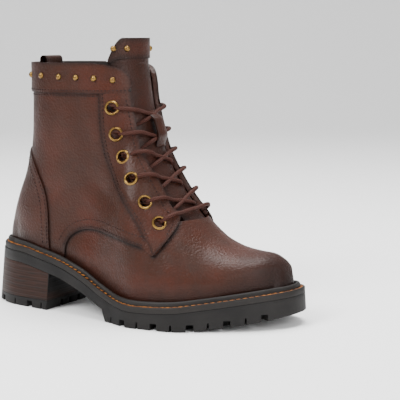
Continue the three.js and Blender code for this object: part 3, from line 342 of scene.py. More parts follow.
    def place(self, x: Array, z: Array, side: Array, out: Array = 0.0) -> Array:
        """Points of the surface stepped outward, in metres in the part's frame.

        Args:
            x: stations.
            z: heights, which may pass the collar.
            side: -1 or 1 for each point.
            out: step along the normal.

        Returns:
            The points, with a last axis of three.
        """
        x, z, side, out = np.broadcast_arrays(*(np.asarray(v, float) for v in (x, z, side, out)))
        held = np.minimum(z, self.collar)
        inside = np.clip(x, self.back_line(held) + 0.02, np.maximum(self.front_line(held) - 0.02, 0))
        normal = self.normal(np.where(z > self.seat + 20, inside, x), held, side)
        base = np.stack([x - ORIGIN_STATION, self.surface_y(x, held, side), z], axis=-1)
        step = out + self.relief(x, held, side)
        return (base + normal * step[..., None]) * MM

    def ring(self, level: float, count: int) -> tuple[Array, Array]:
        """One level line of the upper from the back to the crest, for both sides.

        Args:
            level: 0 at the feather edge, 1 at the collar.
            count: points on a side.

        Returns:
            Stations and heights, each with a row for the lateral and the medial side.
        """
        start_z = self.seat + level * self.shaft_rise
        start = self.foot_back if level == 0 else float(self.back_line(start_z))
        end_x, end_z = self.crest_end(level)
        straight = float(ease(0.1, 0.8, level))
        base = math.asin(min(max(level, 0.0), 1.0)) / (math.pi / 2)
        share = (1 - np.cos(np.pi * np.linspace(0, 1, 260))) / 2
        x = start + (end_x - start) * share
        turn = 1 - (1 - base) * np.sqrt(np.maximum(1 - share**5, 0))
        top = np.where(x < self.collar_front, self.collar - self.edge_height(x), self.crest_height(x))
        curled = self.edge_height(x) + top * (0.0 if level == 0 else np.sin((math.pi / 2) * turn))
        z = curled + straight * (start_z + (end_z - start_z) * share - curled)
        rows = []
        for side in (-1.0, 1.0):
            at = resample(x, z, self.place(x, z, side), count)
            rows.append(at)
        return np.stack([r[0] for r in rows]), np.stack([r[1] for r in rows])


@dataclass(frozen=True)
class Fold:
    """One soft trough (negative depth) or ridge in the leather, in side view."""

    x: float
    z: float
    length: float
    width: float
    depth: float
    turn: float
    bow: float = 0.0
    both: bool = True
    side: int = -1


FOLDS = [
    Fold(118, 98, 26, 5.5, -0.9, math.radians(-32), 0.1),
    Fold(128, 108, 24, 5.0, 0.6, math.radians(-34), 0.1),
    Fold(112, 86, 24, 6.0, 0.5, math.radians(-30)),
    Fold(70, 96, 22, 7.0, -0.6, math.radians(20)),
    Fold(66, 112, 20, 8.0, 0.5, math.radians(18)),
    Fold(86, 150, 10, 30.0, 0.5, math.radians(5)),
    Fold(104, 140, 7, 34.0, -0.7, math.radians(8), 0.0, False, -1),
    Fold(60, 160, 8, 24.0, 0.5, math.radians(-6), 0.0, False, -1),
    Fold(196, 74, 16, 3.2, -0.35, math.radians(-62)),
    Fold(188, 64, 18, 3.6, 0.3, math.radians(-62)),
]


def walked_along(points: Array) -> Array:
    """Length walked along a line at each of its points."""
    return np.concatenate([[0.0], np.cumsum(np.linalg.norm(np.diff(points, axis=0), axis=1))])


def resample(x: Array, z: Array, points: Array, count: int) -> tuple[Array, Array]:
    """Stations and heights at equal steps of length along a line.

    Args:
        x: stations of the line.
        z: heights of the line.
        points: the line's points in space.
        count: number of points wanted.

    Returns:
        The new stations and heights.
    """
    walked = walked_along(points)
    goal = np.linspace(0.0, walked[-1], count)
    return np.interp(goal, walked, x), np.interp(goal, walked, z)


def smooth_line(points: list[tuple[float, float]] | Array, steps: int = 14) -> Array:
    """A smooth line through points, in side view or in space.

    Args:
        points: rows of coordinates.
        steps: pieces between two points.

    Returns:
        The rows of the finer line.
    """
    at = np.asarray(points, float)
    ends = np.vstack([2 * at[0] - at[1], at, 2 * at[-1] - at[-2]])
    s = np.linspace(0, 1, steps, endpoint=False)[:, None]
    found = []
    for a, b, c, d in zip(ends, ends[1:], ends[2:], ends[3:]):
        cubic = 2 * b + (c - a) * s + (2 * a - 5 * b + 4 * c - d) * s**2 + (3 * b - a - 3 * c + d) * s**3
        found.append(0.5 * cubic)
    return np.vstack([*found, at[-1:]])


def side_line(rows: list[tuple[float, float]], last: Last) -> list[tuple[float, float]]:
    """Turn shares of the sole's length and of the shaft into stations and heights."""
    return [(a * last.sole_length, last.seat + r * last.shaft_rise) for a, r in rows]


THROAT_EDGE = [
    (0.503, 0.81), (0.519, 0.675), (0.533, 0.593), (0.55, 0.528), (0.572, 0.47), (0.604, 0.383),
    (0.643, 0.274), (0.665, 0.233),
]
EYESTAY_TIP = [(0.675, 0.2), (0.678, 0.17), (0.676, 0.136), (0.667, 0.094), (0.645, 0.036)]
EYESTAY_REAR = [
    (0.616, 0.118), (0.575, 0.225), (0.527, 0.32), (0.484, 0.4), (0.455, 0.487), (0.441, 0.583),
    (0.434, 0.69), (0.43, 0.84),
]
QUARTER_EDGE = [
    (0.604, 0.077), (0.53, 0.108), (0.47, 0.122), (0.42, 0.127), (0.375, 0.124), (0.338, 0.106),
    (0.31, 0.072), (0.294, 0.025), (0.285, -0.08),
]
COUNTER_EDGE = [
    (0.235, -0.06), (0.229, 0.03), (0.228, 0.15), (0.226, 0.23), (0.214, 0.34), (0.19, 0.43),
    (0.15, 0.51), (0.1, 0.565),
]
CUFF_FRONT = [(0.5, 0.845), (0.5, 0.9), (0.492, 0.945), (0.475, 0.975), (0.44, 0.994)]
EYELETS = [
    (0.462, 0.771), (0.475, 0.635), (0.501, 0.517), (0.544, 0.408), (0.5925, 0.295), (0.639, 0.192),
]
CUFF_STUDS = {
    -1: [(0.168, 0.935), (0.232, 0.933), (0.297, 0.929), (0.358, 0.927), (0.413, 0.923), (0.461, 0.914)],
    1: [(0.168, 0.935), (0.228, 0.933), (0.372, 0.927), (0.44, 0.918)],
}
TONGUE_STUDS = [(0.462, -1), (0.492, -1), (0.492, 1), (0.462, 1)]
ZIP_TOP = (0.3, 1.0)
ZIP_END = (0.378, 0.15)
CUFF_BOTTOM = 0.845


def grid_mesh(points: Array, outward: Array) -> Sheet:
    """Make an open sheet of quads through rows of points.

    Args:
        points: rows by columns by three, in metres.
        outward: a direction at each point that the faces turn towards.

    Returns:
        The sheet.
    """
    rows, cols = points.shape[:2]
    bm = bmesh.new()
    bmesh.ops.create_grid(bm, x_segments=cols - 1, y_segments=rows - 1, size=1.0)
    for vert, at in zip(bm.verts, points.reshape(-1, 3)):
        vert.co = at
    bm.normal_update()
    turned = sum(v.normal.dot(Vector(o)) for v, o in zip(bm.verts, outward.reshape(-1, 3)))
    if turned < 0:
        bmesh.ops.reverse_faces(bm, faces=bm.faces[:])
    return bm


def thicken(bm: Sheet, thickness: float, rim: float, lined: bool = False) -> None:
    """Give a sheet its thickness on its inner side and round its rim.

    Args:
        bm: the sheet, changed in place.
        thickness: in metres.
        rim: radius of the rounded rim in metres, or 0.
        lined: whether the inner faces take the second material.
    """
    first = list(bm.verts)
    normals = [v.normal.copy() for v in first]
    bmesh.ops.solidify(bm, geom=bm.faces[:], thickness=thickness)
    outer = set(first)
    inner = [v for v in bm.verts if v not in outer]
    for kept, normal, made in zip(first, normals, inner):
        if (made.co - kept.co).length > 1.3 * thickness:
            made.co = kept.co - normal * thickness
    if lined:
        for face in bm.faces:
            if not any(v in outer for v in face.verts):
                face.material_index = 1
    bm.normal_update()
    sharp = [e for e in bm.edges if len(e.link_faces) == 2 and e.calc_face_angle(0.0) > RIM_EDGE]
    if rim > 0 and sharp:
        bmesh.ops.bevel(
            bm, geom=sharp, offset=rim, segments=2, profile=0.5, affect="EDGES", material=-1,
            clamp_overlap=True,
        )
    wide = [f for f in bm.faces if max((v.co - f.calc_center_median()).length for v in f.verts) > WIDEST_FACE]
    bmesh.ops.delete(bm, geom=wide, context="FACES")


def add_piece(
    name: str, bm: Sheet, looks: list[bpy.types.Material], body: str = BODY
) -> Piece:
    """Put a finished mesh into the scene as a piece of the boot.

    Args:
        name: the piece's name.
        bm: its mesh, freed here.
        looks: its materials.
        body: the body it rides on.

    Returns:
        The new object.
    """
    mesh = bpy.data.meshes.new(name)
    bm.to_mesh(mesh)
    bm.free()
    mesh.shade_smooth()
    mesh.set_sharp_from_angle(angle=SHARP_EDGE)
    for look in looks:
        mesh.materials.append(look)
    piece = bpy.data.objects.new(name, mesh)
    bpy.context.scene.collection.objects.link(piece)
    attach(piece, body)
    LOG.info("%s: %d faces", name, len(mesh.polygons))
    return piece


def cut(
    target: Piece, cutter: Sheet, operation: str = "DIFFERENCE", crossing: bool = False
) -> None:
    """Cut a piece with a closed mesh.

    Args:
        target: the piece.
        cutter: the cutting mesh, freed here.
        operation: DIFFERENCE or INTERSECT.
        crossing: whether parts of the cutter cross each other.
    """
    mesh = bpy.data.meshes.new("cutter")
    cutter.to_mesh(mesh)
    cutter.free()
    tool = bpy.data.objects.new("cutter", mesh)
    bpy.context.scene.collection.objects.link(tool)
    made = target.modifiers.new("cut", "BOOLEAN")
    made.object = tool
    made.operation = operation
    made.solver = "EXACT"
    made.use_self = crossing
    apply_modifiers(target)
    bpy.data.objects.remove(tool)
    bpy.data.meshes.remove(mesh)


def apply_modifiers(piece: Piece) -> None:
    """Put the result of a piece's modifiers into its mesh."""
    graph = bpy.context.evaluated_depsgraph_get()
    made = bpy.data.meshes.new_from_object(piece.evaluated_get(graph))
    old = piece.data
    piece.modifiers.clear()
    piece.data = made
    made.name = old.name
    bpy.data.meshes.remove(old)
    made.shade_smooth()
    made.set_sharp_from_angle(angle=SHARP_EDGE)


def bevel_piece(piece: Piece, width: float, angle: float = 35.0) -> None:
    """Round a piece's sharp edges.

    Args:
        piece: the piece.
        width: of the rounding in metres.
        angle: the least angle in degrees of an edge that is rounded.
    """
    made = piece.modifiers.new("round", "BEVEL")
    made.width = width
    made.segments = 2
    made.limit_method = "ANGLE"
    made.angle_limit = math.radians(angle)
    apply_modifiers(piece)


def prism(outline: Array, low: float, high: float) -> Sheet:
    """Closed prism of a side view outline, between two values of Y.

    Args:
        outline: rows of station and height.
        low: least Y.
        high: greatest Y.

    Returns:
        The prism in metres.
    """
    bm = bmesh.new()
    bmesh.ops.create_circle(bm, cap_ends=True, segments=len(outline), radius=1.0)
    bm.verts.ensure_lookup_table()
    for vert, (x, z) in zip(bm.verts, outline):
        vert.co = Vector((x - ORIGIN_STATION, low, z)) * MM
    made = bmesh.ops.extrude_face_region(bm, geom=bm.faces[:], use_keep_orig=True)
    moved = [v for v in made["geom"] if isinstance(v, bmesh.types.BMVert)]
    bmesh.ops.translate(bm, verts=moved, vec=(0, (high - low) * MM, 0))
    bmesh.ops.recalc_face_normals(bm, faces=bm.faces[:])
    return bm


def nearness(points: Array, lines: list[Array], width: float) -> Array:
    """How near each point is to any of some lines, from 1 on a line to 0 far away.

    Args:
        points: rows of three, in metres.
        lines: each a row of points in metres.
        width: fall-off in metres.

    Returns:
        One value for each point.
    """
    every = np.vstack([line.reshape(-1, 3)[:: max(len(line) // 160, 1)] for line in lines])
    best = np.full(len(points), 1e9)
    for start in range(0, len(points), 4000):
        part = points[start : start + 4000]
        gaps = ((part[:, None, :] - every[None, :, :]) ** 2).sum(axis=2)
        best[start : start + 4000] = gaps.min(axis=1)
    return np.exp(-best / width**2)


def set_burnish_and_shade(piece: Piece, values: Array) -> None:
    """Keep each point's darkness from 0 to 1, partly burnishing and partly painted shade, as an attribute."""
    made = piece.data.attributes.new("burnish", "FLOAT", "POINT")
    made.data.foreach_set("value", np.clip(values, 0.0, 1.0).astype(np.float32))


def mesh_points(piece: Piece) -> Array:
    """The points of a piece's mesh in metres."""
    flat = np.empty(len(piece.data.vertices) * 3, dtype=np.float32)
    piece.data.vertices.foreach_get("co", flat)
    return flat.reshape(-1, 3).astype(float)


def frame_at(at: Array, normal: Array, along: Array) -> Matrix:
    """Placement with Z along a normal and X along a direction.

    Args:
        at: the place.
        normal: the Z direction.
        along: the X direction, made square to Z.

    Returns:
        The matrix.
    """
    z = Vector(normal).normalized()
    x = Vector(along) - z * Vector(along).dot(z)
    x.normalize()
    y = z.cross(x)
    made = Matrix((x, y, z)).transposed().to_4x4()
    made.translation = Vector(at)
    return made


# Finishes

SHADER_NODE = "Principled BSDF"


def add_node(tree: Tree, kind: str, inputs: dict | None = None, **settings) -> bpy.types.Node:
    """Add a node with its settings and what feeds it.

    Args:
        tree: the material's nodes.
        kind: the node's type.
        inputs: sockets by name or number, each with a value or a socket to link.
        settings: the node's own properties.

    Returns:
        The node.
    """
    made = tree.nodes.new(kind)
    for name, value in settings.items():
        setattr(made, name, value)
    for name, value in (inputs or {}).items():
        if isinstance(value, Socket):
            tree.links.new(value, made.inputs[name])
        else:
            made.inputs[name].default_value = value
    return made


def new_material(name: str) -> tuple[bpy.types.Material, Tree, bpy.types.Node, Socket]:
    """A material with its nodes, its shader and Object coordinates."""
    made = bpy.data.materials.new(name)
    made.use_nodes = True
    tree = made.node_tree
    place = add_node(tree, "ShaderNodeTexCoord").outputs["Object"]
    return made, tree, tree.nodes[SHADER_NODE], place


def noise(tree: Tree, place: Socket, size: float, detail: float = 3.0) -> Socket:
    """Noise whose features are about a size in millimetres."""
    made = add_node(tree, "ShaderNodeTexNoise", {"Vector": place, "Scale": 1000.0 / size, "Detail": detail})
    return made.outputs["Fac"]


def span(tree: Tree, value: Socket, low: float, high: float, to_low: float, to_high: float) -> Socket:
    """Map a value from one span to another, held at its ends."""
    made = add_node(
        tree,
        "ShaderNodeMapRange",
        {"Value": value, "From Min": low, "From Max": high, "To Min": to_low, "To Max": to_high},
    )
    return made.outputs["Result"]


def mix(tree: Tree, share: object, first: object, second: object) -> Socket:
    """Mix two colours by a share."""
    made = add_node(tree, "ShaderNodeMix", {"Factor": share}, data_type="RGBA")
    for socket, value in ((made.inputs[6], first), (made.inputs[7], second)):
        if isinstance(value, Socket):
            tree.links.new(value, socket)
        else:
            socket.default_value = value
    return made.outputs[2]


def maths(tree: Tree, operation: str, *values: object) -> Socket:
    """One sum on numbers or sockets."""
    return add_node(tree, "ShaderNodeMath", dict(enumerate(values)), operation=operation).outputs[0]


def bump(tree: Tree, height: Socket, depth: float, strength: float, under: Socket | None = None) -> Socket:
    """A bump of a depth in millimetres."""
    inputs = {"Height": height, "Distance": depth * MM, "Strength": strength}
    if under is not None:
        inputs["Normal"] = under
    return add_node(tree, "ShaderNodeBump", inputs).outputs["Normal"]


@dataclass(frozen=True)
class Leather:
    """Waxed full grain cow leather, dark at edges and seams from burnishing and painted shade, with painted
    sheen in grey patches.
    """

    grain: float = 1.5
    roughness: float = 0.4
    coat: float = 0.07

    def build(self) -> bpy.types.Material:
        """Make the material.

        Returns:
            The material, which reads the attribute of burnishing and painted shade.
        """
        made, tree, shader, place = new_material("waxed_leather")
        burnish = add_node(tree, "ShaderNodeAttribute", attribute_name="burnish").outputs["Fac"]
        cloud = noise(tree, place, 42.0, 4.0)
        patch = noise(tree, place, 9.0, 5.0)
        red = span(tree, cloud, 0.35, 0.68, 0.0, 1.0)
        base = mix(tree, red, linear(Shade.LEATHER), linear(Shade.LEATHER_RED))
        # Grey patches painted in as sheen.
        sheen_patched = mix(tree, span(tree, patch, 0.45, 0.8, 0.0, 0.45), base, linear(Shade.LEATHER_SHEEN_GREY))
        # Darker by the attribute: burnishing mixed with painted shade at steps, seams and the sole.
        dark = mix(tree, burnish, sheen_patched, linear(Shade.LEATHER_DARK))
        tree.links.new(dark, shader.inputs["Base Color"])
        pebble = add_node(
            tree, "ShaderNodeTexVoronoi", {"Vector": place, "Scale": 1000.0 / self.grain, "Randomness": 1.0},
            feature="SMOOTH_F1",
        ).outputs["Distance"]
        fine = noise(tree, place, 0.5, 4.0)
        wide = noise(tree, place, 5.0, 3.0)
        first = bump(tree, wide, 0.35, 0.4)
        second = bump(tree, pebble, 0.5, 0.8, first)
        third = bump(tree, fine, 0.12, 0.6, second)
        tree.links.new(third, shader.inputs["Normal"])
        patchy = span(tree, patch, 0.3, 0.8, self.roughness - 0.05, self.roughness + 0.14)
        rough = maths(tree, "ADD", patchy, span(tree, burnish, 0.0, 1.0, 0.0, 0.1))
        tree.links.new(rough, shader.inputs["Roughness"])
        shader.inputs["Coat Weight"].default_value = self.coat
        shader.inputs["Coat Roughness"].default_value = 0.34
        shader.inputs["Specular IOR Level"].default_value = 0.13
        return made


@dataclass(frozen=True)
class Plain:
    """A surface of two shades in soft patches with a fine bump."""

    name: str
    first: Shade
    second: Shade
    patch: float
    bump_size: float
    bump_depth: float
    roughness: float
    metal: float = 0.0

    def build(self) -> bpy.types.Material:
        """Make the material."""
        made, tree, shader, place = new_material(self.name)
        cloud = noise(tree, place, self.patch, 4.0)
        colour = mix(tree, span(tree, cloud, 0.35, 0.7, 0.0, 1.0), linear(self.first), linear(self.second))
        tree.links.new(colour, shader.inputs["Base Color"])
        fine = noise(tree, place, self.bump_size, 4.0)
        tree.links.new(bump(tree, fine, self.bump_depth, 0.6), shader.inputs["Normal"])
        rough = span(tree, cloud, 0.3, 0.7, self.roughness - 0.06, self.roughness + 0.06)
        tree.links.new(rough, shader.inputs["Roughness"])
        shader.inputs["Metallic"].default_value = self.metal
        if self.metal < 0.5:
            shader.inputs["Specular IOR Level"].default_value = 0.18
        return made


@dataclass(frozen=True)
class Stack:
    """Heel cover printed as stacked leather, with level lighter lines and a black breast."""

    lines: float = 3.9
    line_width: float = 0.22
    breast: float = 66.4

    def build(self) -> bpy.types.Material:
        """Make the material."""
        made, tree, shader, place = new_material("stacked_heel")
        parts = add_node(tree, "ShaderNodeSeparateXYZ", {"Vector": place})
        wave = maths(tree, "MULTIPLY", noise(tree, place, 30.0), 0.0022)
        level = maths(tree, "DIVIDE", maths(tree, "ADD", parts.outputs["Z"], wave), self.lines * MM)
        phase = maths(tree, "ABSOLUTE", maths(tree, "SUBTRACT", maths(tree, "FRACT", level), 0.5))
        line = span(tree, phase, 0.5 - self.line_width, 0.5, 0.0, 1.0)
        streak = add_node(tree, "ShaderNodeMapping", {"Vector": place, "Scale": (0.06, 0.06, 1.0)})
        grain = noise(tree, streak.outputs["Vector"], 0.9, 4.0)
        wood = mix(tree, span(tree, grain, 0.3, 0.75, 0.0, 1.0), linear(Shade.STACK), linear(Shade.LEATHER))
        striped = mix(tree, line, wood, linear(Shade.STACK_LINE))
        breast = (self.breast - ORIGIN_STATION) * MM
        front = span(tree, parts.outputs["X"], breast - 0.5 * MM, breast, 0.0, 1.0)
        tree.links.new(mix(tree, front, striped, linear(Shade.RUBBER_DARK)), shader.inputs["Base Color"])
        first = bump(tree, line, 0.3, 0.5)
        tree.links.new(bump(tree, grain, 0.12, 0.5, first), shader.inputs["Normal"])
        shader.inputs["Roughness"].default_value = 0.55
        shader.inputs["Specular IOR Level"].default_value = 0.16
        return made


@dataclass(frozen=True)
class Braid:
    """Round braided lace cord, its strands drawn by the cord's own UV map, with painted shade between them.
    """

    pitch: float = 2.4
    strands: int = 6

    def build(self) -> bpy.types.Material:
        """Make the material."""
        made, tree, shader, place = new_material("braided_lace")
        uv = add_node(tree, "ShaderNodeUVMap", uv_map="cord").outputs["UV"]
        parts = add_node(tree, "ShaderNodeSeparateXYZ", {"Vector": uv})
        along = maths(tree, "DIVIDE", parts.outputs["X"], self.pitch)
        heights = []
        for sign in (1.0, -1.0):
            turn = maths(tree, "ADD", along, maths(tree, "MULTIPLY", parts.outputs["Y"], sign * self.strands))
            heights.append(maths(tree, "SINE", maths(tree, "MULTIPLY", turn, math.pi)))
        weave = maths(tree, "ABSOLUTE", maths(tree, "MULTIPLY", heights[0], heights[1]))
        # Painted shade in the hollows between the strands.
        colour = mix(tree, span(tree, weave, 0.0, 0.7, 0.0, 1.0), linear(Shade.LACE_STRAND_SHADE), linear(Shade.LACE))
        tree.links.new(colour, shader.inputs["Base Color"])
        first = bump(tree, weave, 0.18, 0.5)
        tree.links.new(bump(tree, noise(tree, place, 0.3), 0.05, 0.5, first), shader.inputs["Normal"])
        shader.inputs["Roughness"].default_value = 0.7
        shader.inputs["Specular IOR Level"].default_value = 0.14
        return made


class Finishes:
    """Every finish of the boot, built once."""

    def __init__(self) -> None:
        """Build the materials."""
        # Waxed brown cow leather of the upper
        self.leather = Leather().build()
        # Brushed synthetic lining
        self.lining = Plain("textile_lining", Shade.LINING, Shade.RUBBER, 12, 0.8, 0.2, 0.9).build()
        # Moulded black rubber of the sole
        self.rubber = Plain("moulded_rubber", Shade.RUBBER, Shade.RUBBER_DARK, 30, 1.2, 0.12, 0.6).build()
        # Grey-brown rubber of the welt's bead
        self.bead = Plain("welt_rubber", Shade.BEAD, Shade.RUBBER, 20, 1.0, 0.15, 0.55).build()
        # Stacked leather heel cover
        self.stack = Stack().build()
        # Dark sewing thread
        self.thread = Plain("dark_thread", Shade.THREAD, Shade.LEATHER_DARK, 6, 0.4, 0.1, 0.6).build()
        # Mustard welt thread
        self.mustard = Plain("mustard_thread", Shade.MUSTARD, Shade.LEATHER_RED, 4, 0.4, 0.2, 0.6).build()
        # Antique brass of eyelets and studs
        self.brass = Plain("antique_brass", Shade.BRASS, Shade.STUD, 3, 0.7, 0.04, 0.34, 1.0).build()
        # Blackened steel of the zip's slider and pull
        self.steel = Plain("blackened_steel", Shade.STEEL, Shade.BEAD, 3, 0.6, 0.04, 0.36, 1.0).build()
        # Braided polyester lace
        self.lace = Braid().build()
        # Woven zip tape and nylon coil
        self.tape = Plain("zip_tape_weave", Shade.TAPE, Shade.RUBBER_DARK, 3, 0.5, 0.3, 0.85).build()
        self.coil = Plain("nylon_coil", Shade.TAPE, Shade.RUBBER, 3, 0.5, 0.05, 0.4).build()


# Upper


@dataclass
class Upper:
    """Vamp, quarter and overlays of the upper."""

    last: Last
    finishes: Finishes
    wall: float = 2.0
    quarter_out: float = 1.1
    overlay_out: float = 2.5
    vamp_level: float = 0.42
    stitch_pitch: float = 3.0
    stitch_length: float = 2.3
    stitch_radius: float = 0.42
    hole: float = 4.9
    zip_half: float = 5.0
    quarter_rows: tuple[float, float] = (1.8, 7.6)
    counter_rows: tuple[float, float] = (2.0, 7.0)
    cuff_seam: float = 2.2

    def line(self, rows: list[tuple[float, float]], side: int, out: float = 0.0) -> Array:
        """A side view line of shares as points on the surface, in metres."""
        flat = smooth_line(side_line(rows, self.last))
        return self.last.place(flat[:, 0], flat[:, 1], float(side), out)

    def add_burnish_and_shade(
        self, piece: Piece, lines: list[Array], width: float, amount: float, sole: float = 0.55
    ) -> None:
        """Darken a piece near some lines, near the sole, at the toe and at the shaft's back, partly as
        burnishing and partly as painted shade.

        Args:
            piece: the piece.
            lines: seams and edges in metres.
            width: fall-off in millimetres.
            amount: darkness on a line.
            sole: painted shade at the sole, where the upper meets the welt.
        """
        points = mesh_points(piece)
        # Dark along seams and edges: partly burnished edges, partly painted shadow where an overlay steps
        # over the piece.
        dark = amount * nearness(points, lines, width * MM)
        station = points[:, 0] / MM + ORIGIN_STATION
        rise = points[:, 2] / MM - self.last.edge_height(station)
        # Painted shade in a band just above the sole, where the upper meets the welt.
        dark = np.maximum(dark, sole * np.exp(-((np.maximum(rise, 0) / 9.0) ** 2)))
        # Darker towards the toe and at the back of the shaft.
        toe = 0.42 * ease(216.0, 252.0, station) + 0.3 * ease(236.0, 262.0, station)
        shaft = 0.3 * (1 - ease(36, 62, station - 0.1 * points[:, 2] / MM)) * ease(60, 110, points[:, 2] / MM)
        set_burnish_and_shade(piece, np.maximum.reduce([dark, toe, shaft]) + 0.25 * dark)

    def make_vamp(self) -> Piece:
        """The vamp and toe, as a ring shell up to the throat's foot."""
        rows, outs = [], []
        levels = np.linspace(0.0, 1.0, 54) ** 0.9 * self.vamp_level
        for level in levels:
            x, z = self.last.ring(float(level), 120)
            if level == 0:
                z = z - 1.5
            loop_x = np.concatenate([x[0], x[1][::-1][1:]])
            loop_z = np.concatenate([z[0], z[1][::-1][1:]])
            side = np.concatenate([np.full(120, -1.0), np.full(119, 1.0)])
            rows.append(self.last.place(loop_x, loop_z, side, 0.0))
            outs.append(self.last.normal(loop_x, loop_z, side))
        bm = grid_mesh(np.stack(rows), np.stack(outs))
        bmesh.ops.remove_doubles(bm, verts=bm.verts[:], dist=0.05 * MM)
        thicken(bm, self.wall * MM, 0.3 * MM, lined=True)
        piece = add_piece("vamp", bm, [self.finishes.leather, self.finishes.lining])
        edges = [self.line(QUARTER_EDGE, s) for s in (-1, 1)] + [self.line(EYESTAY_TIP, s) for s in (-1, 1)]
        # Painted shadow on the vamp along the edges of the quarter and eyestays that step over it, with
        # painted shade above the sole.
        self.add_burnish_and_shade(piece, edges, 2.2, 0.8)
        return piece

    def wrap_line(self, control: Array, count: int, side: int) -> tuple[Array, Array]:
        """Resample a line that starts on the heel's back.

        Args:
            control: rows of station and height.
            count: points wanted.
            side: the side it lies on.

        Returns:
            Steps ahead of the back line, and heights.
        """
        points = self.last.place(control[:, 0], control[:, 1], float(side))
        x, z = resample(control[:, 0], control[:, 1], points, count)
        return x - self.last.back_line(z), z

    def ruled(self, lower: dict, upper: dict, rows: int, out: float) -> tuple[Array, ...]:
        """Rows between two lines that wrap round the back.

        Args:
            lower: for each side, steps ahead of the back line and heights.
            upper: the same for the upper line.
            rows: number of rows.
            out: step off the surface.

        Returns:
            Points, outward directions, stations, heights and sides of the grid.
        """
        share = np.linspace(0.0, 1.0, rows)[:, None]
        ahead, height, sides = [], [], []
        for side in (-1, 1):
            a = (1 - share) * lower[side][0] + share * upper[side][0]
            h = (1 - share) * lower[side][1] + share * upper[side][1]
            if side < 0:
                ahead.append(a[:, ::-1])
                height.append(h[:, ::-1])
            else:
                ahead.append(a[:, 1:])
                height.append(h[:, 1:])
            sides.append(np.full(ahead[-1].shape, float(side)))
        ahead, height, sides = (np.concatenate(v, axis=1) for v in (ahead, height, sides))
        x = ahead + self.last.back_line(height)
        outward = self.last.normal(x, np.minimum(height, NORMAL_TOP), sides)
        return self.last.place(x, height, sides, out), outward, x, height, sides

    def collar_line(self) -> Array:
        """The collar and the throat's edge from the back, in side view."""
        last = self.last
        back = float(last.back_line(last.collar))
        s = np.linspace(0, 1, 70) ** 2
        level = np.column_stack([back + (110.0 - back) * s, np.full(70, last.collar)])
        front = side_line([*CUFF_FRONT[::-1], *THROAT_EDGE], last)
        return np.vstack([level, smooth_line(front)])

    def foot_line(self) -> Array:
        """The quarter's lower edge from the back along the sole, in side view."""
        last = self.last
        end = QUARTER_EDGE[-1][0] * last.sole_length
        s = np.linspace(0, 1, 70) ** 2
        x = last.foot_back + (end - last.foot_back) * s
        level = np.column_stack([x, last.edge_height(x) - 1.5])
        rest = side_line([*QUARTER_EDGE[::-1][1:], *EYESTAY_TIP[::-1]], last)
        return np.vstack([level, smooth_line(rest)])

    def holes(self, bm: Sheet, sides: tuple[int, ...], radius: float) -> None:
        """Take faces out under the eyelets.

        Args:
            bm: an open sheet.
            sides: the sides it covers.
            radius: of the hole in millimetres.
        """
        spots = []
        for side in sides:
            for x, z in side_line(EYELETS, self.last):
                spots.append(Vector(self.last.place(x, z, float(side), self.quarter_out)))
        gone = [f for f in bm.faces if min((f.calc_center_median() - s).length for s in spots) < radius * MM]
        bmesh.ops.delete(bm, geom=gone, context="FACES")

    def make_quarter(self) -> Piece:
        """The quarter with its lining, from the sole to the collar and the throat."""
        lower = {s: self.wrap_line(self.foot_line(), 130, s) for s in (-1, 1)}
        upper = {s: self.wrap_line(self.collar_line(), 130, s) for s in (-1, 1)}
        points, outward, *_ = self.ruled(lower, upper, 84, self.quarter_out)
        bm = grid_mesh(points, outward)
        self.holes(bm, (-1, 1), self.hole)
        thicken(bm, (self.quarter_out + self.wall - 0.1) * MM, 0.45 * MM, lined=True)
        piece = add_piece("quarter", bm, [self.finishes.leather, self.finishes.lining])
        cut(piece, self.zip_strip(self.zip_half, 0.05, 9.0, -0.04, 1.0))
        lines = []
        for side in (-1, 1):
            for rows in (QUARTER_EDGE, COUNTER_EDGE, EYESTAY_REAR):
                lines.append(self.line(rows, side, 1.0))
        lines += [self.cuff_line(s) for s in (-1, 1)]
        # Painted shadow on the quarter along the counter, eyestays and cuff that step over it; burnishing and
        # painted shade along its own edge and above the sole.
        self.add_burnish_and_shade(piece, lines, 3.0, 0.5)
        return piece

    def cuff_line(self, side: int) -> Array:
        """The cuff's lower edge on one side, in metres."""
        z = self.last.seat + CUFF_BOTTOM * self.last.shaft_rise
        back = float(self.last.back_line(z))
        x = back + (CUFF_FRONT[0][0] * self.last.sole_length - back) * np.linspace(0, 1, 90) ** 2
        return self.last.place(x, np.full(90, z), float(side), self.overlay_out)

    def zip_line(self, share: Array) -> tuple[Array, Array]:
        """Station and height along the zip."""
        (a, r), (b, t) = side_line([ZIP_TOP, ZIP_END], self.last)
        return a + (b - a) * share, r + (t - r) * share

    def zip_strip(self, half: float, low: float, high: float, start: float, end: float) -> Sheet:
        """Closed strip along the zip between two steps off the surface.

        Args:
            half: half width.
            low: inner step.
            high: outer step.
            start: share of the zip where it starts.
            end: share where it ends.

        Returns:
            The strip.
        """
        share = np.linspace(start, end, 60)[:, None]
        x, z = self.zip_line(share)
        (x0, z0), (x1, z1) = self.zip_line(0.0), self.zip_line(1.0)
        length = math.hypot(x1 - x0, z1 - z0)
        across = np.linspace(-half, half, 7)[None, :]
        gx, gz = x - (z1 - z0) / length * across, z + (x1 - x0) / length * across
        facing = self.last.normal(gx, np.minimum(gz, NORMAL_TOP), np.ones_like(gx))
        bm = grid_mesh(self.last.place(gx, gz, 1.0, high), facing)
        bmesh.ops.solidify(bm, geom=bm.faces[:], thickness=(high - low) * MM)
        bmesh.ops.recalc_face_normals(bm, faces=bm.faces[:])
        return bm

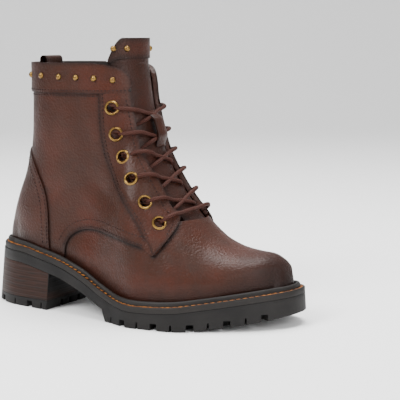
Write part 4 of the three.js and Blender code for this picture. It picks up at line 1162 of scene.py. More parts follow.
    def wrapped_rows(self, heights: Array, front: dict, count: int, out: float) -> tuple[Array, Array]:
        """Rows of constant height round the back.

        Args:
            heights: of the rows.
            front: for each side, the stations where the rows end.
            count: points from the back to an end.
            out: step off the surface.

        Returns:
            Points and outward directions.
        """
        rows, outs = [], []
        for i, height in enumerate(heights):
            part_x, part_side = [], []
            for side in (-1, 1):
                back = float(self.last.back_line(height))
                x = back + max(front[side][i] - back, 0.6) * np.linspace(0, 1, 90) ** 2
                z = np.full(90, height)
                even, _ = resample(x, z, self.last.place(x, z, float(side)), count)
                part_x.append(even[::-1] if side < 0 else even[1:])
                part_side.append(np.full(len(part_x[-1]), float(side)))
            x, side = np.concatenate(part_x), np.concatenate(part_side)
            rows.append(self.last.place(x, np.full(len(x), height), side, out))
            outs.append(self.last.normal(x, np.full(len(x), min(height, NORMAL_TOP)), side))
        return np.stack(rows), np.stack(outs)

    def make_counter(self) -> Piece:
        """The heel counter, rising to a point at the back."""
        edge = smooth_line(side_line([*COUNTER_EDGE, (0.085, 0.585)], self.last))
        heights = np.concatenate([np.linspace(40.0, 128.0, 50), np.linspace(129.0, 141.5, 18)])
        front = np.interp(heights, edge[:, 1], edge[:, 0])
        tip = self.last.back_line(heights) + 16.0 * np.sqrt(np.maximum((142.0 - heights) / 14.0, 0.0))
        front = np.where(heights > 128, np.minimum(front, tip), front)
        points, outward = self.wrapped_rows(heights, {-1: front, 1: front}, 44, self.overlay_out - 0.2)
        bm = grid_mesh(points, outward)
        thicken(bm, 1.2 * MM, 0.5 * MM)
        piece = add_piece("heel_counter", bm, [self.finishes.leather])
        lines = [self.line(COUNTER_EDGE, s, self.overlay_out) for s in (-1, 1)]
        self.add_burnish_and_shade(piece, lines, 2.0, 0.4)
        return piece

    def make_eyestay(self, side: int) -> Piece:
        """One eyestay with its eyelet holes.

        Args:
            side: -1 lateral, 1 medial.

        Returns:
            The piece.
        """
        last = self.last
        rear = smooth_line(side_line([EYESTAY_TIP[-1], *EYESTAY_REAR[:-1], (0.43, CUFF_BOTTOM + 0.02)], last))
        corners = [*EYESTAY_TIP[::-1], *THROAT_EDGE[::-1], (0.5, CUFF_BOTTOM + 0.02)]
        front = smooth_line(side_line(corners, last))
        count = 128
        ends = []
        for line in (rear, front):
            points = last.place(line[:, 0], line[:, 1], float(side))
            ends.append(np.column_stack(resample(line[:, 0], line[:, 1], points, count)))
        share = np.linspace(0, 1, 22)[None, :]
        x = ends[0][:, :1] * (1 - share) + ends[1][:, :1] * share
        z = ends[0][:, 1:] * (1 - share) + ends[1][:, 1:] * share
        sides = np.full(x.shape, float(side))
        lift = self.quarter_out + 0.35 + (self.overlay_out - self.quarter_out - 0.35) * ease(0.0, 0.3, share)
        bm = grid_mesh(last.place(x, z, sides, lift), last.normal(x, np.minimum(z, NORMAL_TOP), sides))
        self.holes(bm, (side,), self.hole - 0.9)
        thicken(bm, 1.3 * MM, 0.4 * MM)
        name = "lateral" if side < 0 else "medial"
        piece = add_piece(f"eyestay_{name}_leather", bm, [self.finishes.leather])
        edges = [last.place(e[:, 0], e[:, 1], float(side), self.overlay_out) for e in ends]
        self.add_burnish_and_shade(piece, edges, 1.8, 0.5, 0.2)
        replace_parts(piece, f"eyestay_{name}")
        return piece

    def cuff_front_at(self, heights: Array) -> Array:
        """Station of the cuff's front edge at a height."""
        front = smooth_line(side_line([*CUFF_FRONT, (0.4, 1.001)], self.last))
        return np.interp(heights, front[:, 1], front[:, 0])

    def cuff_rows(self) -> tuple[Array, Array]:
        """Heights of the cuff's rows, and the zip's station at each."""
        last = self.last
        low = last.seat + CUFF_BOTTOM * last.shaft_rise
        heights = low + (last.collar + 0.4 - low) * np.linspace(0, 1, 26) ** 0.8
        share = (heights - last.collar) / (ZIP_END[1] - ZIP_TOP[1]) / last.shaft_rise
        return heights, self.zip_line(share)[0]

    def make_cuff(self) -> Piece:
        """The padded cuff from the lateral front round the back to the zip."""
        heights, zip_at = self.cuff_rows()
        front = {-1: self.cuff_front_at(heights), 1: zip_at - self.zip_half}
        points, outward = self.wrapped_rows(heights, front, 90, self.overlay_out)
        bm = grid_mesh(points, outward)
        thicken(bm, 1.4 * MM, 0.55 * MM)
        piece = add_piece("collar_cuff", bm, [self.finishes.leather])
        self.dress_cuff(piece, [self.cuff_line(s) for s in (-1, 1)])
        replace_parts(piece, "cuff")
        return piece

    def dress_cuff(self, piece: Piece, lines: list[Array]) -> None:
        """Darken a cuff at its lower seam, its top and its front."""
        top = [p + np.array([0, 0, (self.last.collar - p[0, 2] / MM) * MM]) for p in lines]
        front = [self.line(CUFF_FRONT, s, self.overlay_out) for s in (-1, 1)]
        self.add_burnish_and_shade(piece, [*lines, *top, *front], 1.8, 0.5, 0.0)

    def make_cuff_front(self) -> Piece:
        """The cuff's short piece between the zip and the throat, on the medial side."""
        last = self.last
        heights, zip_at = self.cuff_rows()
        rear = (zip_at + self.zip_half)[:, None]
        front = self.cuff_front_at(heights)[:, None]
        across = np.linspace(0, 1, 34)[None, :]
        x = rear + (front - rear) * across
        z = np.broadcast_to(heights[:, None], x.shape)
        sides = np.ones(x.shape)
        outward = last.normal(x, np.minimum(z, NORMAL_TOP), sides)
        bm = grid_mesh(last.place(x, z, sides, self.overlay_out), outward)
        thicken(bm, 1.4 * MM, 0.55 * MM)
        piece = add_piece("collar_cuff_front", bm, [self.finishes.leather])
        self.dress_cuff(piece, [self.cuff_line(1)])
        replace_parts(piece, "cuff_front")
        return piece

    def add_stitches(self, name: str, rows: list[tuple[Array, float, float]]) -> Piece:
        """Rows of short stitches on the surface.

        Args:
            name: the piece's name.
            rows: each a side view line, its side and its step off the surface.

        Returns:
            The piece.
        """
        bm = bmesh.new()
        for line, side, out in rows:
            points = self.last.place(line[:, 0], line[:, 1], side, out)
            length = np.linalg.norm(np.diff(points, axis=0), axis=1).sum() / MM
            count = max(int(length / self.stitch_pitch), 2)
            x, z = resample(line[:, 0], line[:, 1], points, count)
            kept = x > self.last.back_line(z) + 0.8
            x, z = x[kept], z[kept]
            at = self.last.place(x, z, side, out)
            normals = self.last.normal(x, np.minimum(z, FITTING_TOP), np.full(len(x), side))
            ahead = np.gradient(at, axis=0)
            for spot, normal, direction in zip(at, normals, ahead):
                thick = self.stitch_radius * MM
                size = Matrix.Diagonal((0.5 * self.stitch_length * MM, thick, thick, 1))
                bmesh.ops.create_icosphere(
                    bm, subdivisions=1, radius=1.0, matrix=frame_at(spot, normal, direction) @ size
                )
        return add_piece(name, bm, [self.finishes.thread])

    def shifted(self, rows: list[tuple[float, float]], step: float) -> Array:
        """A side view line moved sideways in side view, to the left of its own direction."""
        flat = smooth_line(side_line(rows, self.last))
        ahead = np.gradient(flat, axis=0)
        ahead /= np.linalg.norm(ahead, axis=1, keepdims=True)
        return flat + step * np.column_stack([-ahead[:, 1], ahead[:, 0]])

    def make_stitches(self) -> None:
        """The seams of the quarter, counter, eyestays and cuff."""
        last = self.last
        low = last.seat + CUFF_BOTTOM * last.shaft_rise
        rows = []
        for side in (-1.0, 1.0):
            for step in self.quarter_rows:
                line = self.shifted(QUARTER_EDGE[:-1], -step)
                rows.append((line, side, self.quarter_out + 0.1))
            for step in self.counter_rows:
                rows.append((self.shifted(COUNTER_EDGE[1:], step), side, self.overlay_out - 0.1))
            rows.append((self.shifted(EYESTAY_REAR, -1.8), side, self.quarter_out + 0.75))
            rows.append((self.shifted(EYESTAY_REAR, 1.4), side, self.quarter_out + 0.1))
            rows.append((self.shifted([*THROAT_EDGE, *EYESTAY_TIP[:3]], -2.8), side, self.overlay_out + 0.1))
            for rise in (-self.cuff_seam, self.cuff_seam):
                back = float(last.back_line(low))
                cuff_end = CUFF_FRONT[0][0] * last.sole_length - 1.0
                end = cuff_end if side < 0 else float(self.zip_line(0.18)[0]) - 6.0
                x = back + (end - back) * np.linspace(0, 1, 120) ** 2
                out = self.overlay_out + 0.1 if rise > 0 else self.quarter_out + 0.1
                rows.append((np.column_stack([x, np.full(120, low + rise)]), side, out))
        self.add_stitches("seam_stitches", rows)

    def build(self) -> None:
        """Make the upper's pieces."""
        vamp = self.make_vamp()
        self.make_quarter()
        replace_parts(vamp, "upper")
        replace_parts(self.make_counter(), "counter")
        for side in (-1, 1):
            self.make_eyestay(side)
        self.make_cuff()
        self.make_cuff_front()
        self.make_stitches()


@dataclass
class Tongue:
    """Tongue with its studded top band and the lace keeper."""

    last: Last
    finishes: Finishes
    out: float = -3.1
    thickness: float = 3.0
    top: float = 221.0
    band: float = 17.0
    foot_level: float = 0.28
    half_low: float = 20.0
    half_high: float = 36.0
    corner_drop: float = 17.0
    keeper_low: float = 136.0
    keeper_high: float = 164.0
    keeper_arch: float = 5.6
    keeper_half: float = 6.5

    def rows(self, out: float, start: float) -> tuple[Array, Array, Array]:
        """Rows of the tongue from a height share to the top.

        Args:
            out: step off the last's surface.
            start: height where the rows start, in millimetres, or 0 for the foot.

        Returns:
            Points, outward directions and the share across of each column.
        """
        last = self.last
        count = 49
        across = np.linspace(-1, 1, count)
        rows, outs = [], []
        for level in np.linspace(self.foot_level, 0.995, 64):
            x, z = last.ring(float(level), 400)
            half = self.half_low + (self.half_high - self.half_low) * float(ease(0.35, 0.95, level))
            sides = np.where(across < 0, -1.0, 1.0)
            col_x, col_z = [], []
            for q, side in zip(across, sides):
                row = 0 if side < 0 else 1
                points = last.place(x[row], z[row], side)
                walked = walked_along(points) / MM
                goal = walked[-1] - abs(q) * half
                col_x.append(np.interp(goal, walked, x[row]))
                col_z.append(np.interp(goal, walked, z[row]))
            rows.append(last.place(np.array(col_x), np.array(col_z), sides, out))
            outs.append(last.normal(np.array(col_x), np.array(col_z), sides))
        crown = self.top - self.corner_drop * np.maximum(np.abs(across) - 0.62, 0.0) ** 1.8 / 0.38**1.8
        base = rows[-1]
        for share in np.linspace(0.06, 1.0, 12):
            lifted = base.copy()
            lifted[:, 2] = base[:, 2] + share * (crown * MM - base[:, 2])
            rows.append(lifted)
            outs.append(outs[-1])
        kept = [i for i, row in enumerate(rows) if row[count // 2, 2] / MM >= start]
        return np.stack(rows)[kept], np.stack(outs)[kept], across

    def build(self) -> None:
        """Make the tongue, its band and the keeper."""
        points, outward, _ = self.rows(self.out, 0.0)
        bm = grid_mesh(points, outward)
        thicken(bm, self.thickness * MM, 0.9 * MM)
        tongue = add_piece("tongue_leather", bm, [self.finishes.leather])
        edges = [points[-1], points[:, 0], points[:, -1]]
        set_burnish_and_shade(tongue, 0.35 + 0.4 * nearness(mesh_points(tongue), edges, 5 * MM))
        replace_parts(tongue, "tongue")
        band_points, band_out, _ = self.rows(self.out + 1.1, self.top - self.band)
        bm = grid_mesh(band_points, band_out)
        thicken(bm, 1.0 * MM, 0.4 * MM)
        band = add_piece("tongue_band", bm, [self.finishes.leather])
        edges = [band_points[0], band_points[-1]]
        set_burnish_and_shade(band, 0.1 + 0.6 * nearness(mesh_points(band), edges, 3.4 * MM))
        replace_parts(band, "tongue_cuff")
        self.make_keeper()

    def make_keeper(self) -> None:
        """The strap that the second crossing passes behind."""
        last = self.last
        heights = np.linspace(self.keeper_low, self.keeper_high, 30)
        share = (heights - heights[0]) / (heights[-1] - heights[0])
        front = last.front_line(heights)
        lean = -np.gradient(front, heights)
        arch = self.keeper_arch * ease(0.0, 0.3, np.minimum(share, 1 - share))
        normal = np.column_stack([np.ones_like(lean), np.zeros_like(lean), lean])
        normal /= np.linalg.norm(normal, axis=1, keepdims=True)
        middle = np.column_stack([front - ORIGIN_STATION, last.centre(last.foot_share(front)), heights])
        middle = middle + normal * (self.out + 1.8 + arch)[:, None]
        across = np.linspace(-self.keeper_half, self.keeper_half, 11)
        crown = -0.035 * across**2
        points = middle[:, None, :] + across[None, :, None] * np.array([0.0, 1.0, 0.0])
        points = (points + normal[:, None, :] * crown[None, :, None]) * MM
        bm = grid_mesh(points, np.broadcast_to(normal[:, None, :], points.shape))
        thicken(bm, 1.5 * MM, 0.4 * MM)
        piece = add_piece("lace_keeper_strap", bm, [self.finishes.leather])
        set_burnish_and_shade(piece, 0.2 + 0.5 * nearness(mesh_points(piece), [points[:, 0], points[:, -1]], 1.6 * MM))
        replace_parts(piece, "lace_keeper")


# Sole


@dataclass
class Sole:
    """Outsole, heel block, top piece and welt."""

    last: Last
    finishes: Finishes
    stations: int = 110
    flare_heel: float = 4.5
    flare_fore: float = 1.0
    welt_depth: float = 4.5
    band: float = 13.0
    breast: float = 67.0
    top_piece: float = 8.0
    fore_start: float = 127.0
    lug_depth: float = 5.4
    lug_reach: float = 12.0
    lug_pitch: float = 14.0
    notch: float = 3.2
    first_lug: float = 0.515
    last_lug: float = 0.975
    bead_width: float = 3.3
    bead_height: float = 4.0

    def shares(self) -> Array:
        """Stations as shares of the length, closer at the ends."""
        i = np.linspace(0, 1, self.stations)
        return 0.35 * i + 0.65 * (1 - np.cos(np.pi * i)) / 2

    def edge_point(self, share: Array, side: float, foot: bool) -> tuple[Array, Array]:
        """Plan place of the sole's or the foot's edge.

        Args:
            share: of the length.
            side: -1 or 1.
            foot: whether it is the upper's edge and not the sole's.

        Returns:
            Stations and Y.
        """
        last = self.last
        if foot:
            x = last.foot_back + share * (last.foot_front - last.foot_back)
            return x, last.centre(share) + side * last.foot_half(share, side)
        return share * last.sole_length, last.centre(share) + side * last.sole_half(share, side)

    def loop(self, foot: bool, out: Array, height: object, narrow: float = 1.0) -> Array:
        """A closed loop round the sole, in millimetres.

        Args:
            foot: whether it follows the upper's edge.
            out: outward step in plan.
            height: function of the station.
            narrow: share of the half width kept.

        Returns:
            The loop's points, from the back by the lateral side to the back again.
        """
        share = self.shares()
        halves = []
        for side in (-1.0, 1.0):
            x, y = self.edge_point(share, side, foot)
            xa, ya = self.edge_point(np.maximum(share - 0.002, 0), side, foot)
            xb, yb = self.edge_point(np.minimum(share + 0.002, 1), side, foot)
            length = np.maximum(np.hypot(xb - xa, yb - ya), 1e-9)
            nx, ny = side * -(yb - ya) / length * -1, side * -(xb - xa) / length * -1
            nx = np.where(share <= 0, -1.0, np.where(share >= 1, 1.0, -nx))
            ny = np.where((share <= 0) | (share >= 1), 0.0, ny)
            step = np.broadcast_to(out, share.shape)
            px, py = x + nx * step, y + ny * step
            centre = self.last.centre(share)
            py = centre + (py - centre) * narrow
            halves.append(np.column_stack([px - ORIGIN_STATION, py, height(x)]))
        return np.vstack([halves[0], halves[1][::-1][1:]])

    def flare(self) -> Array:
        """Outward flare of the sole's wall at the floor."""
        forward = ease(0.25, 0.5, self.shares())
        return self.flare_heel * (1 - forward) + self.flare_fore * forward

    def body(self, groove: bool) -> Sheet:
        """The whole sole as one closed block from the floor to under the welt."""
        last = self.last
        low = last.floor_height

        def top(x: Array) -> Array:
            """Height of the block's top at a station."""
            return last.edge_height(x) - self.welt_depth - 0.3

        flare = self.flare()
        loops = [
            self.loop(False, 0.0, low, 0.0),
            self.loop(False, flare - 3.0, low, 0.55),
            self.loop(False, flare - 0.9, low),
            self.loop(False, flare, lambda x: low(x) + 0.9),
        ]
        for share in np.linspace(0.15, 0.9, 7):
            loops.append(
                self.loop(
                    False, flare * (1 - 0.85 * share),
                    lambda x, s=share: low(x) + 0.9 + s * (top(x) - low(x) - 0.9),
                )
            )
        if groove:
            loops.append(self.loop(False, flare * 0.16, lambda x: top(x) - 1.6))
        loops += [self.loop(False, flare * 0.15, top), self.loop(False, -8.0, top, 0.6)]
        loops.append(self.loop(False, 0.0, top, 0.0))
        return self.loft(loops)

    def loft(self, loops: list[Array], closed: bool = False) -> Sheet:
        """A skin over loops whose first and last have shrunk to a line, or over a closed chain.

        Args:
            loops: equal loops in millimetres.
            closed: whether the chain returns to its first loop.

        Returns:
            The closed mesh.
        """
        points = np.stack([*loops, loops[0]] if closed else loops) * MM
        bm = grid_mesh(points, np.zeros_like(points))
        bmesh.ops.remove_doubles(bm, verts=bm.verts[:], dist=0.004 * MM)
        bmesh.ops.dissolve_degenerate(bm, edges=bm.edges[:], dist=0.002 * MM)
        bmesh.ops.recalc_face_normals(bm, faces=bm.faces[:])
        return bm

    def band_height(self, x: Array) -> Array:
        """Height of the rubber band's lower edge."""
        return self.last.edge_height(x) - self.band

    def under_band(self) -> Array:
        """Side view outline of what lies open under the waist and the heel's rubber band."""
        x = np.linspace(-20, self.fore_start, 26)
        line = np.column_stack([x, self.band_height(np.maximum(x, 0))])
        begin = self.fore_start
        front = np.array([(begin + 1, 6.0), (begin + 3, 2.0), (begin + 7, -10.0)])
        return np.vstack([[(-20.0, -10.0)], line, front])

    def notch_cutter(self, share: float, side: float, wide: bool, out: float) -> tuple[Matrix, float]:
        """Placement and width of one lug notch."""
        x, y = (float(v) for v in self.edge_point(np.array(share), side, False))
        xa, ya = (float(v) for v in self.edge_point(np.array(max(share - 0.004, 0)), side, False))
        xb, yb = (float(v) for v in self.edge_point(np.array(min(share + 0.004, 1)), side, False))
        normal = Vector((-(yb - ya), xb - xa, 0)).normalized() * side
        at = Vector((x - ORIGIN_STATION, y, float(self.last.floor_height(x)))) + normal * out
        return frame_at(at * MM, (0, 0, 1), normal), (2.1 if wide else 1.0) * self.notch

    def add_notch(self, bm: Sheet, place: Matrix, width: float, wide: bool) -> None:
        """Add one wedge shaped cutter.

        Args:
            bm: the cutters so far.
            place: its placement at the floor.
            width: along the sole's edge.
            wide: whether its top is nearly as wide as its foot.
        """
        size = Matrix.Diagonal((2 * self.lug_reach * MM, width * MM, 2 * self.lug_depth * MM, 1))
        made = bmesh.ops.create_cube(bm, size=1.0, matrix=size)
        for vert in made["verts"]:
            if vert.co.z > 0:
                vert.co.y *= 0.8 if wide else 0.35
        bmesh.ops.transform(bm, matrix=place, verts=made["verts"])

    def notches(self) -> Sheet:
        """Every notch and groove of the forepart's tread, as one set of cutters."""
        bm = bmesh.new()
        last = self.last
        for side in (-1.0, 1.0):
            share, wide = self.first_lug, False
            while share < self.last_lug:
                self.add_notch(bm, *self.notch_cutter(share, side, wide, 0.0), wide)
                xa, ya = self.edge_point(np.array(share), side, False)
                xb, yb = self.edge_point(np.array(min(share + 0.01, 0.999)), side, False)
                share += 0.01 * self.lug_pitch / float(np.hypot(xb - xa, yb - ya))
                wide = not wide
        length = 0.4 * last.ball_width
        x = self.fore_start + 1.2 * self.lug_pitch
        while x < 0.9 * last.sole_length:
            for side in (-1.0, 1.0):
                y = float(last.centre(x / last.sole_length))
                at = Matrix.Translation(Vector((x - ORIGIN_STATION, y, float(last.floor_height(x)))) * MM)
                turn = Matrix.Rotation(-side * 0.42, 4, "Z")
                shift = Matrix.Translation((0, side * length / 4 * MM, 0))
                size = Matrix.Diagonal((self.notch * MM, 0.5 * length * MM, 2 * self.lug_depth * MM, 1))
                bmesh.ops.create_cube(bm, size=1.0, matrix=at @ turn @ shift @ size)
            x += self.lug_pitch
        return bm

    def make_outsole(self) -> None:
        """The rubber platform with its waist band and lugs."""
        piece = add_piece("outsole_rubber", self.body(True), [self.finishes.rubber])
        cut(piece, prism(self.under_band(), -90, 90))
        cut(piece, self.notches(), crossing=True)
        bevel_piece(piece, 0.7 * MM)
        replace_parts(piece, "outsole")

    def make_heel(self) -> None:
        """The stacked heel block and its rubber top piece."""
        x = np.linspace(-20, self.breast - 1, 18)
        top = np.column_stack([x, self.band_height(np.maximum(x, 0)) - 0.3])
        block = add_piece("heel_block_stack", self.body(False), [self.finishes.stack])
        corner = (self.breast, float(self.band_height(self.breast)) - 0.3)
        foot = [(-20.0, self.top_piece), (self.breast - 1, self.top_piece), corner]
        outline = np.vstack([foot, top[::-1]])
        cut(block, prism(outline, -90, 90), "INTERSECT")
        bevel_piece(block, 0.9 * MM)
        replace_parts(block, "heel_block")
        lift = add_piece("heel_lift_rubber", self.body(False), [self.finishes.rubber])
        lift_top = self.top_piece - 0.3
        outline = np.array([(-20, -1), (self.breast - 2, -1), (self.breast - 1, lift_top), (-20, lift_top)])
        cut(lift, prism(outline, -90, 90), "INTERSECT")
        bm = bmesh.new()
        for side in (-1.0, 1.0):
            for i, share in enumerate((0.012, 0.055, 0.115, 0.175, 0.225)):
                wide = i % 2 == 1
                self.add_notch(bm, *self.notch_cutter(share, side, wide, self.flare_heel), wide)
        for y in (-18.0, -6.0, 6.0, 18.0):
            size = Matrix.Diagonal((2 * self.lug_reach * MM, self.notch * MM, 2 * self.lug_depth * MM, 1))
            at = Matrix.Translation(Vector((self.breast - ORIGIN_STATION, y, 0)) * MM)
            bmesh.ops.create_cube(bm, size=1.0, matrix=at @ size)
        cut(lift, bm)
        bevel_piece(lift, 0.6 * MM)
        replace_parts(lift, "heel_top_piece")

    def make_welt(self) -> None:
        """The welt with its rounded bead and stitch groove."""
        last = self.last
        edge = last.edge_height
        bead_in = 0.6 + 1.0 * (1 - ease(0.32, 0.38, self.shares()))
        loops = [
            self.loop(True, -4.0, lambda x: edge(x) - self.welt_depth),
            self.loop(True, -4.0, edge),
            self.loop(True, bead_in, edge),
        ]
        for turn in np.linspace(0.0, math.pi, 9):
            out = bead_in + 0.5 * self.bead_width * (1 - math.cos(turn))
            rise = self.bead_height * (0.45 + 0.55 * math.sin(turn)) if turn < 2.9 else 0.1
            loops.append(self.loop(True, out, lambda x, r=rise: edge(x) + r))
        loops += [
            self.loop(True, bead_in + self.bead_width + 0.3, lambda x: edge(x) - 0.7),
            self.loop(False, -1.9, lambda x: edge(x) - 0.7),
            self.loop(False, -1.5, lambda x: edge(x) + 0.15),
            self.loop(False, -0.5, lambda x: edge(x) + 0.1),
            self.loop(False, 0.0, lambda x: edge(x) - 0.7),
            self.loop(False, 0.0, lambda x: edge(x) - self.welt_depth),
        ]
        piece = add_piece("welt_strip", self.loft(loops, closed=True), [self.finishes.bead])
        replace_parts(piece, "welt")
        self.make_chain()

    def make_chain(self) -> None:
        """The mustard chain stitch in the welt's groove."""
        bm = bmesh.new()
        last = self.last
        inner = self.loop(True, 0.6 + self.bead_width + 0.6, lambda x: last.edge_height(x) - 0.1)
        outer = self.loop(False, -2.2, lambda x: last.edge_height(x) - 0.1)
        line = 0.5 * (inner + outer)
        walked = walked_along(line)
        count = int(walked[-1] / 4.9)
        goals = (np.arange(count) + 0.5) * walked[-1] / count
        at = np.column_stack([np.interp(goals, walked, line[:, i]) for i in range(3)])
        ahead = np.roll(at, -1, axis=0) - np.roll(at, 1, axis=0)
        for spot, direction in zip(at, ahead):
            for turn, size, shift in ((0.2, (2.9, 0.72, 0.62), 0.0), (-0.34, (1.9, 0.6, 0.5), 2.3)):
                base = frame_at(spot * MM, (0, 0, 1), direction) @ Matrix.Translation((shift * MM, 0, 0))
                scale = Matrix.Diagonal((*(s * MM for s in size), 1))
                bmesh.ops.create_icosphere(
                    bm, subdivisions=1, radius=1.0, matrix=base @ Matrix.Rotation(turn, 4, "Z") @ scale
                )
        add_piece("welt_chain_stitch", bm, [self.finishes.mustard])

    def build(self) -> None:
        """Make the sole's pieces."""
        self.make_outsole()
        self.make_heel()
        self.make_welt()


# Fastenings


@dataclass
class Hardware:
    """Eyelets, studs, pull loop and zip."""

    last: Last
    finishes: Finishes
    upper: Upper
    radius: float = 5.7
    bore: float = 3.8
    lip: float = 1.3
    stud_radius: float = 2.5
    stud_height: float = 2.2
    tongue_stud_height: float = 212.5
    loop_low: float = 181.0
    loop_bend: float = 192.0
    loop_radius: float = 3.4
    loop_half: float = 11.0

    def seat(self, x: float, z: float, side: float, out: float, span_mm: float) -> Matrix:
        """Placement on the surface with Z outward."""
        held = min(z, FITTING_TOP)
        normal = self.last.normal(np.array(x), np.array(held), np.array(side), span_mm)
        return frame_at(self.last.place(x, z, side, out), normal, (0, 0, -1))

    def spun(self, profile: list[tuple[float, float]], steps: int, place: Matrix, closed: bool) -> Sheet:
        """A turned shape.

        Args:
            profile: radius and height of its points.
            steps: facets round it.
            place: its placement.
            closed: whether the profile returns to its first point.

        Returns:
            The mesh.
        """
        bm = bmesh.new()
        verts = [bm.verts.new((r * MM, 0, h * MM)) for r, h in profile]
        pairs = list(zip(verts, verts[1:])) + ([(verts[-1], verts[0])] if closed else [])
        edges = [bm.edges.new(pair) for pair in pairs]
        bmesh.ops.spin(
            bm, geom=[*verts, *edges], axis=(0, 0, 1), cent=(0, 0, 0), angle=2 * math.pi, steps=steps,
            use_merge=True,
        )
        bmesh.ops.remove_doubles(bm, verts=bm.verts[:], dist=0.005 * MM)
        bmesh.ops.recalc_face_normals(bm, faces=bm.faces[:])
        bmesh.ops.transform(bm, matrix=place, verts=bm.verts[:])
        return bm

    def make_eyelets(self) -> None:
        """Twelve brass eyelets."""
        profile = [
            (self.bore + 0.4, -4.2), (self.bore + 0.4, -0.1), (self.radius, -0.1), (self.radius + 0.1, 0.25),
            (self.radius - 0.35, 0.8), (0.5 * (self.radius + self.bore), self.lip), (self.bore + 0.35, 0.95),
            (self.bore, 0.3), (self.bore, -4.2),
        ]
        for side, name in ((-1.0, "lateral"), (1.0, "medial")):
            for i, (x, z) in enumerate(side_line(EYELETS, self.last)):
                place = self.seat(x, z, side, self.upper.overlay_out + 0.15, 4.0)
                bm = self.spun(profile, 28, place, True)
                piece = add_piece(f"eyelet_ring_{name}_{i + 1}", bm, [self.finishes.brass])
                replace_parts(piece, f"eyelet_{name}_{i + 1}")

    def make_studs(self) -> None:
        """Domed studs of the cuff and of the tongue's band."""
        steps = np.linspace(0, math.pi / 2, 5)
        profile = [(self.stud_radius * math.cos(t), self.stud_height * math.sin(t)) for t in steps[:-1]]
        profile = [(0.0, -0.4), (self.stud_radius, -0.4), *profile, (0.0, self.stud_height)]
        for side, name in ((-1, "lateral"), (1, "medial")):
            for i, (x, z) in enumerate(side_line(CUFF_STUDS[side], self.last)):
                place = self.seat(x, z, float(side), self.upper.overlay_out, 1.0)
                bm = self.spun(profile, 14, place, False)
                piece = add_piece(f"stud_{name}_{i + 1}", bm, [self.finishes.brass])
                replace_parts(piece, f"cuff_stud_{name}_{i + 1}")
        for i, (along, side) in enumerate(TONGUE_STUDS):
            place = self.seat(along * self.last.sole_length, self.tongue_stud_height, float(side), -2.0, 1.0)
            dome = self.spun(profile, 14, place, False)
            piece = add_piece(f"stud_tongue_{i + 1}", dome, [self.finishes.brass])
            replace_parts(piece, f"tongue_stud_{i + 1}")

    def make_loop(self) -> None:
        """The pull loop, a folded strap inside the collar's back."""
        back = float(self.last.back_line(self.last.collar)) + 4.6
        turn = np.linspace(0, math.pi, 13)
        radius, low, bend = self.loop_radius, self.loop_low, self.loop_bend
        arch = [(back + radius * (1 - math.cos(t)), 203.2 + radius * math.sin(t)) for t in turn]
        line = [(back, low), (back, bend), *arch, (back + 2 * radius, bend), (back + 2 * radius, low)]
        flat = np.array(line)
        across = np.linspace(-self.loop_half, self.loop_half, 9)
        points = np.zeros((len(flat), 9, 3))
        points[..., 0] = (flat[:, 0] - ORIGIN_STATION)[:, None] + 0.012 * across[None, :] ** 2 * 0.6
        points[..., 1] = across[None, :]
        points[..., 2] = flat[:, 1][:, None]
        outward = np.zeros_like(points)
        outward[..., 0] = np.where(np.arange(len(flat)) < len(flat) / 2, -1.0, 1.0)[:, None]
        bm = grid_mesh(points * MM, outward)
        thicken(bm, 1.5 * MM, 0.4 * MM)
        piece = add_piece("pull_loop_strap", bm, [self.finishes.leather])
        edges = [points[:, 0] * MM, points[:, -1] * MM]
        set_burnish_and_shade(piece, 0.35 + 0.4 * nearness(mesh_points(piece), edges, 2 * MM))
        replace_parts(piece, "pull_loop")

    def make_zip(self) -> None:
        """The zip's tape and coil, with the slider and pull kept from the CAD."""
        strip = self.upper.zip_strip(4.8, 0.15, 1.0, 0.0, 0.985)
        tape = add_piece("zip_tape_cloth", strip, [self.finishes.tape])
        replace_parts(tape, "zip_tape")
        bm = bmesh.new()
        shares = np.linspace(0.13, 0.955, 96)
        x, z = self.upper.zip_line(shares)
        at = self.last.place(x, z, 1.0, 1.5)
        normals = self.last.normal(x, z, np.ones_like(x))
        ahead = np.gradient(at, axis=0)
        for i, (spot, normal, direction) in enumerate(zip(at, normals, ahead)):
            shift = (0.9 if i % 2 else -0.9) * MM
            base = frame_at(spot, normal, direction) @ Matrix.Translation((0, shift, 0))
            size = Matrix.Diagonal((0.62 * MM, 1.5 * MM, 0.7 * MM, 1))
            bmesh.ops.create_icosphere(bm, subdivisions=1, radius=1.0, matrix=base @ size)
        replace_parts(add_piece("zip_coil", bm, [self.finishes.coil]), "zip_teeth")

    def build(self) -> None:
        """Make the fastenings."""
        self.make_eyelets()
        self.make_studs()
        self.make_loop()
        self.make_zip()


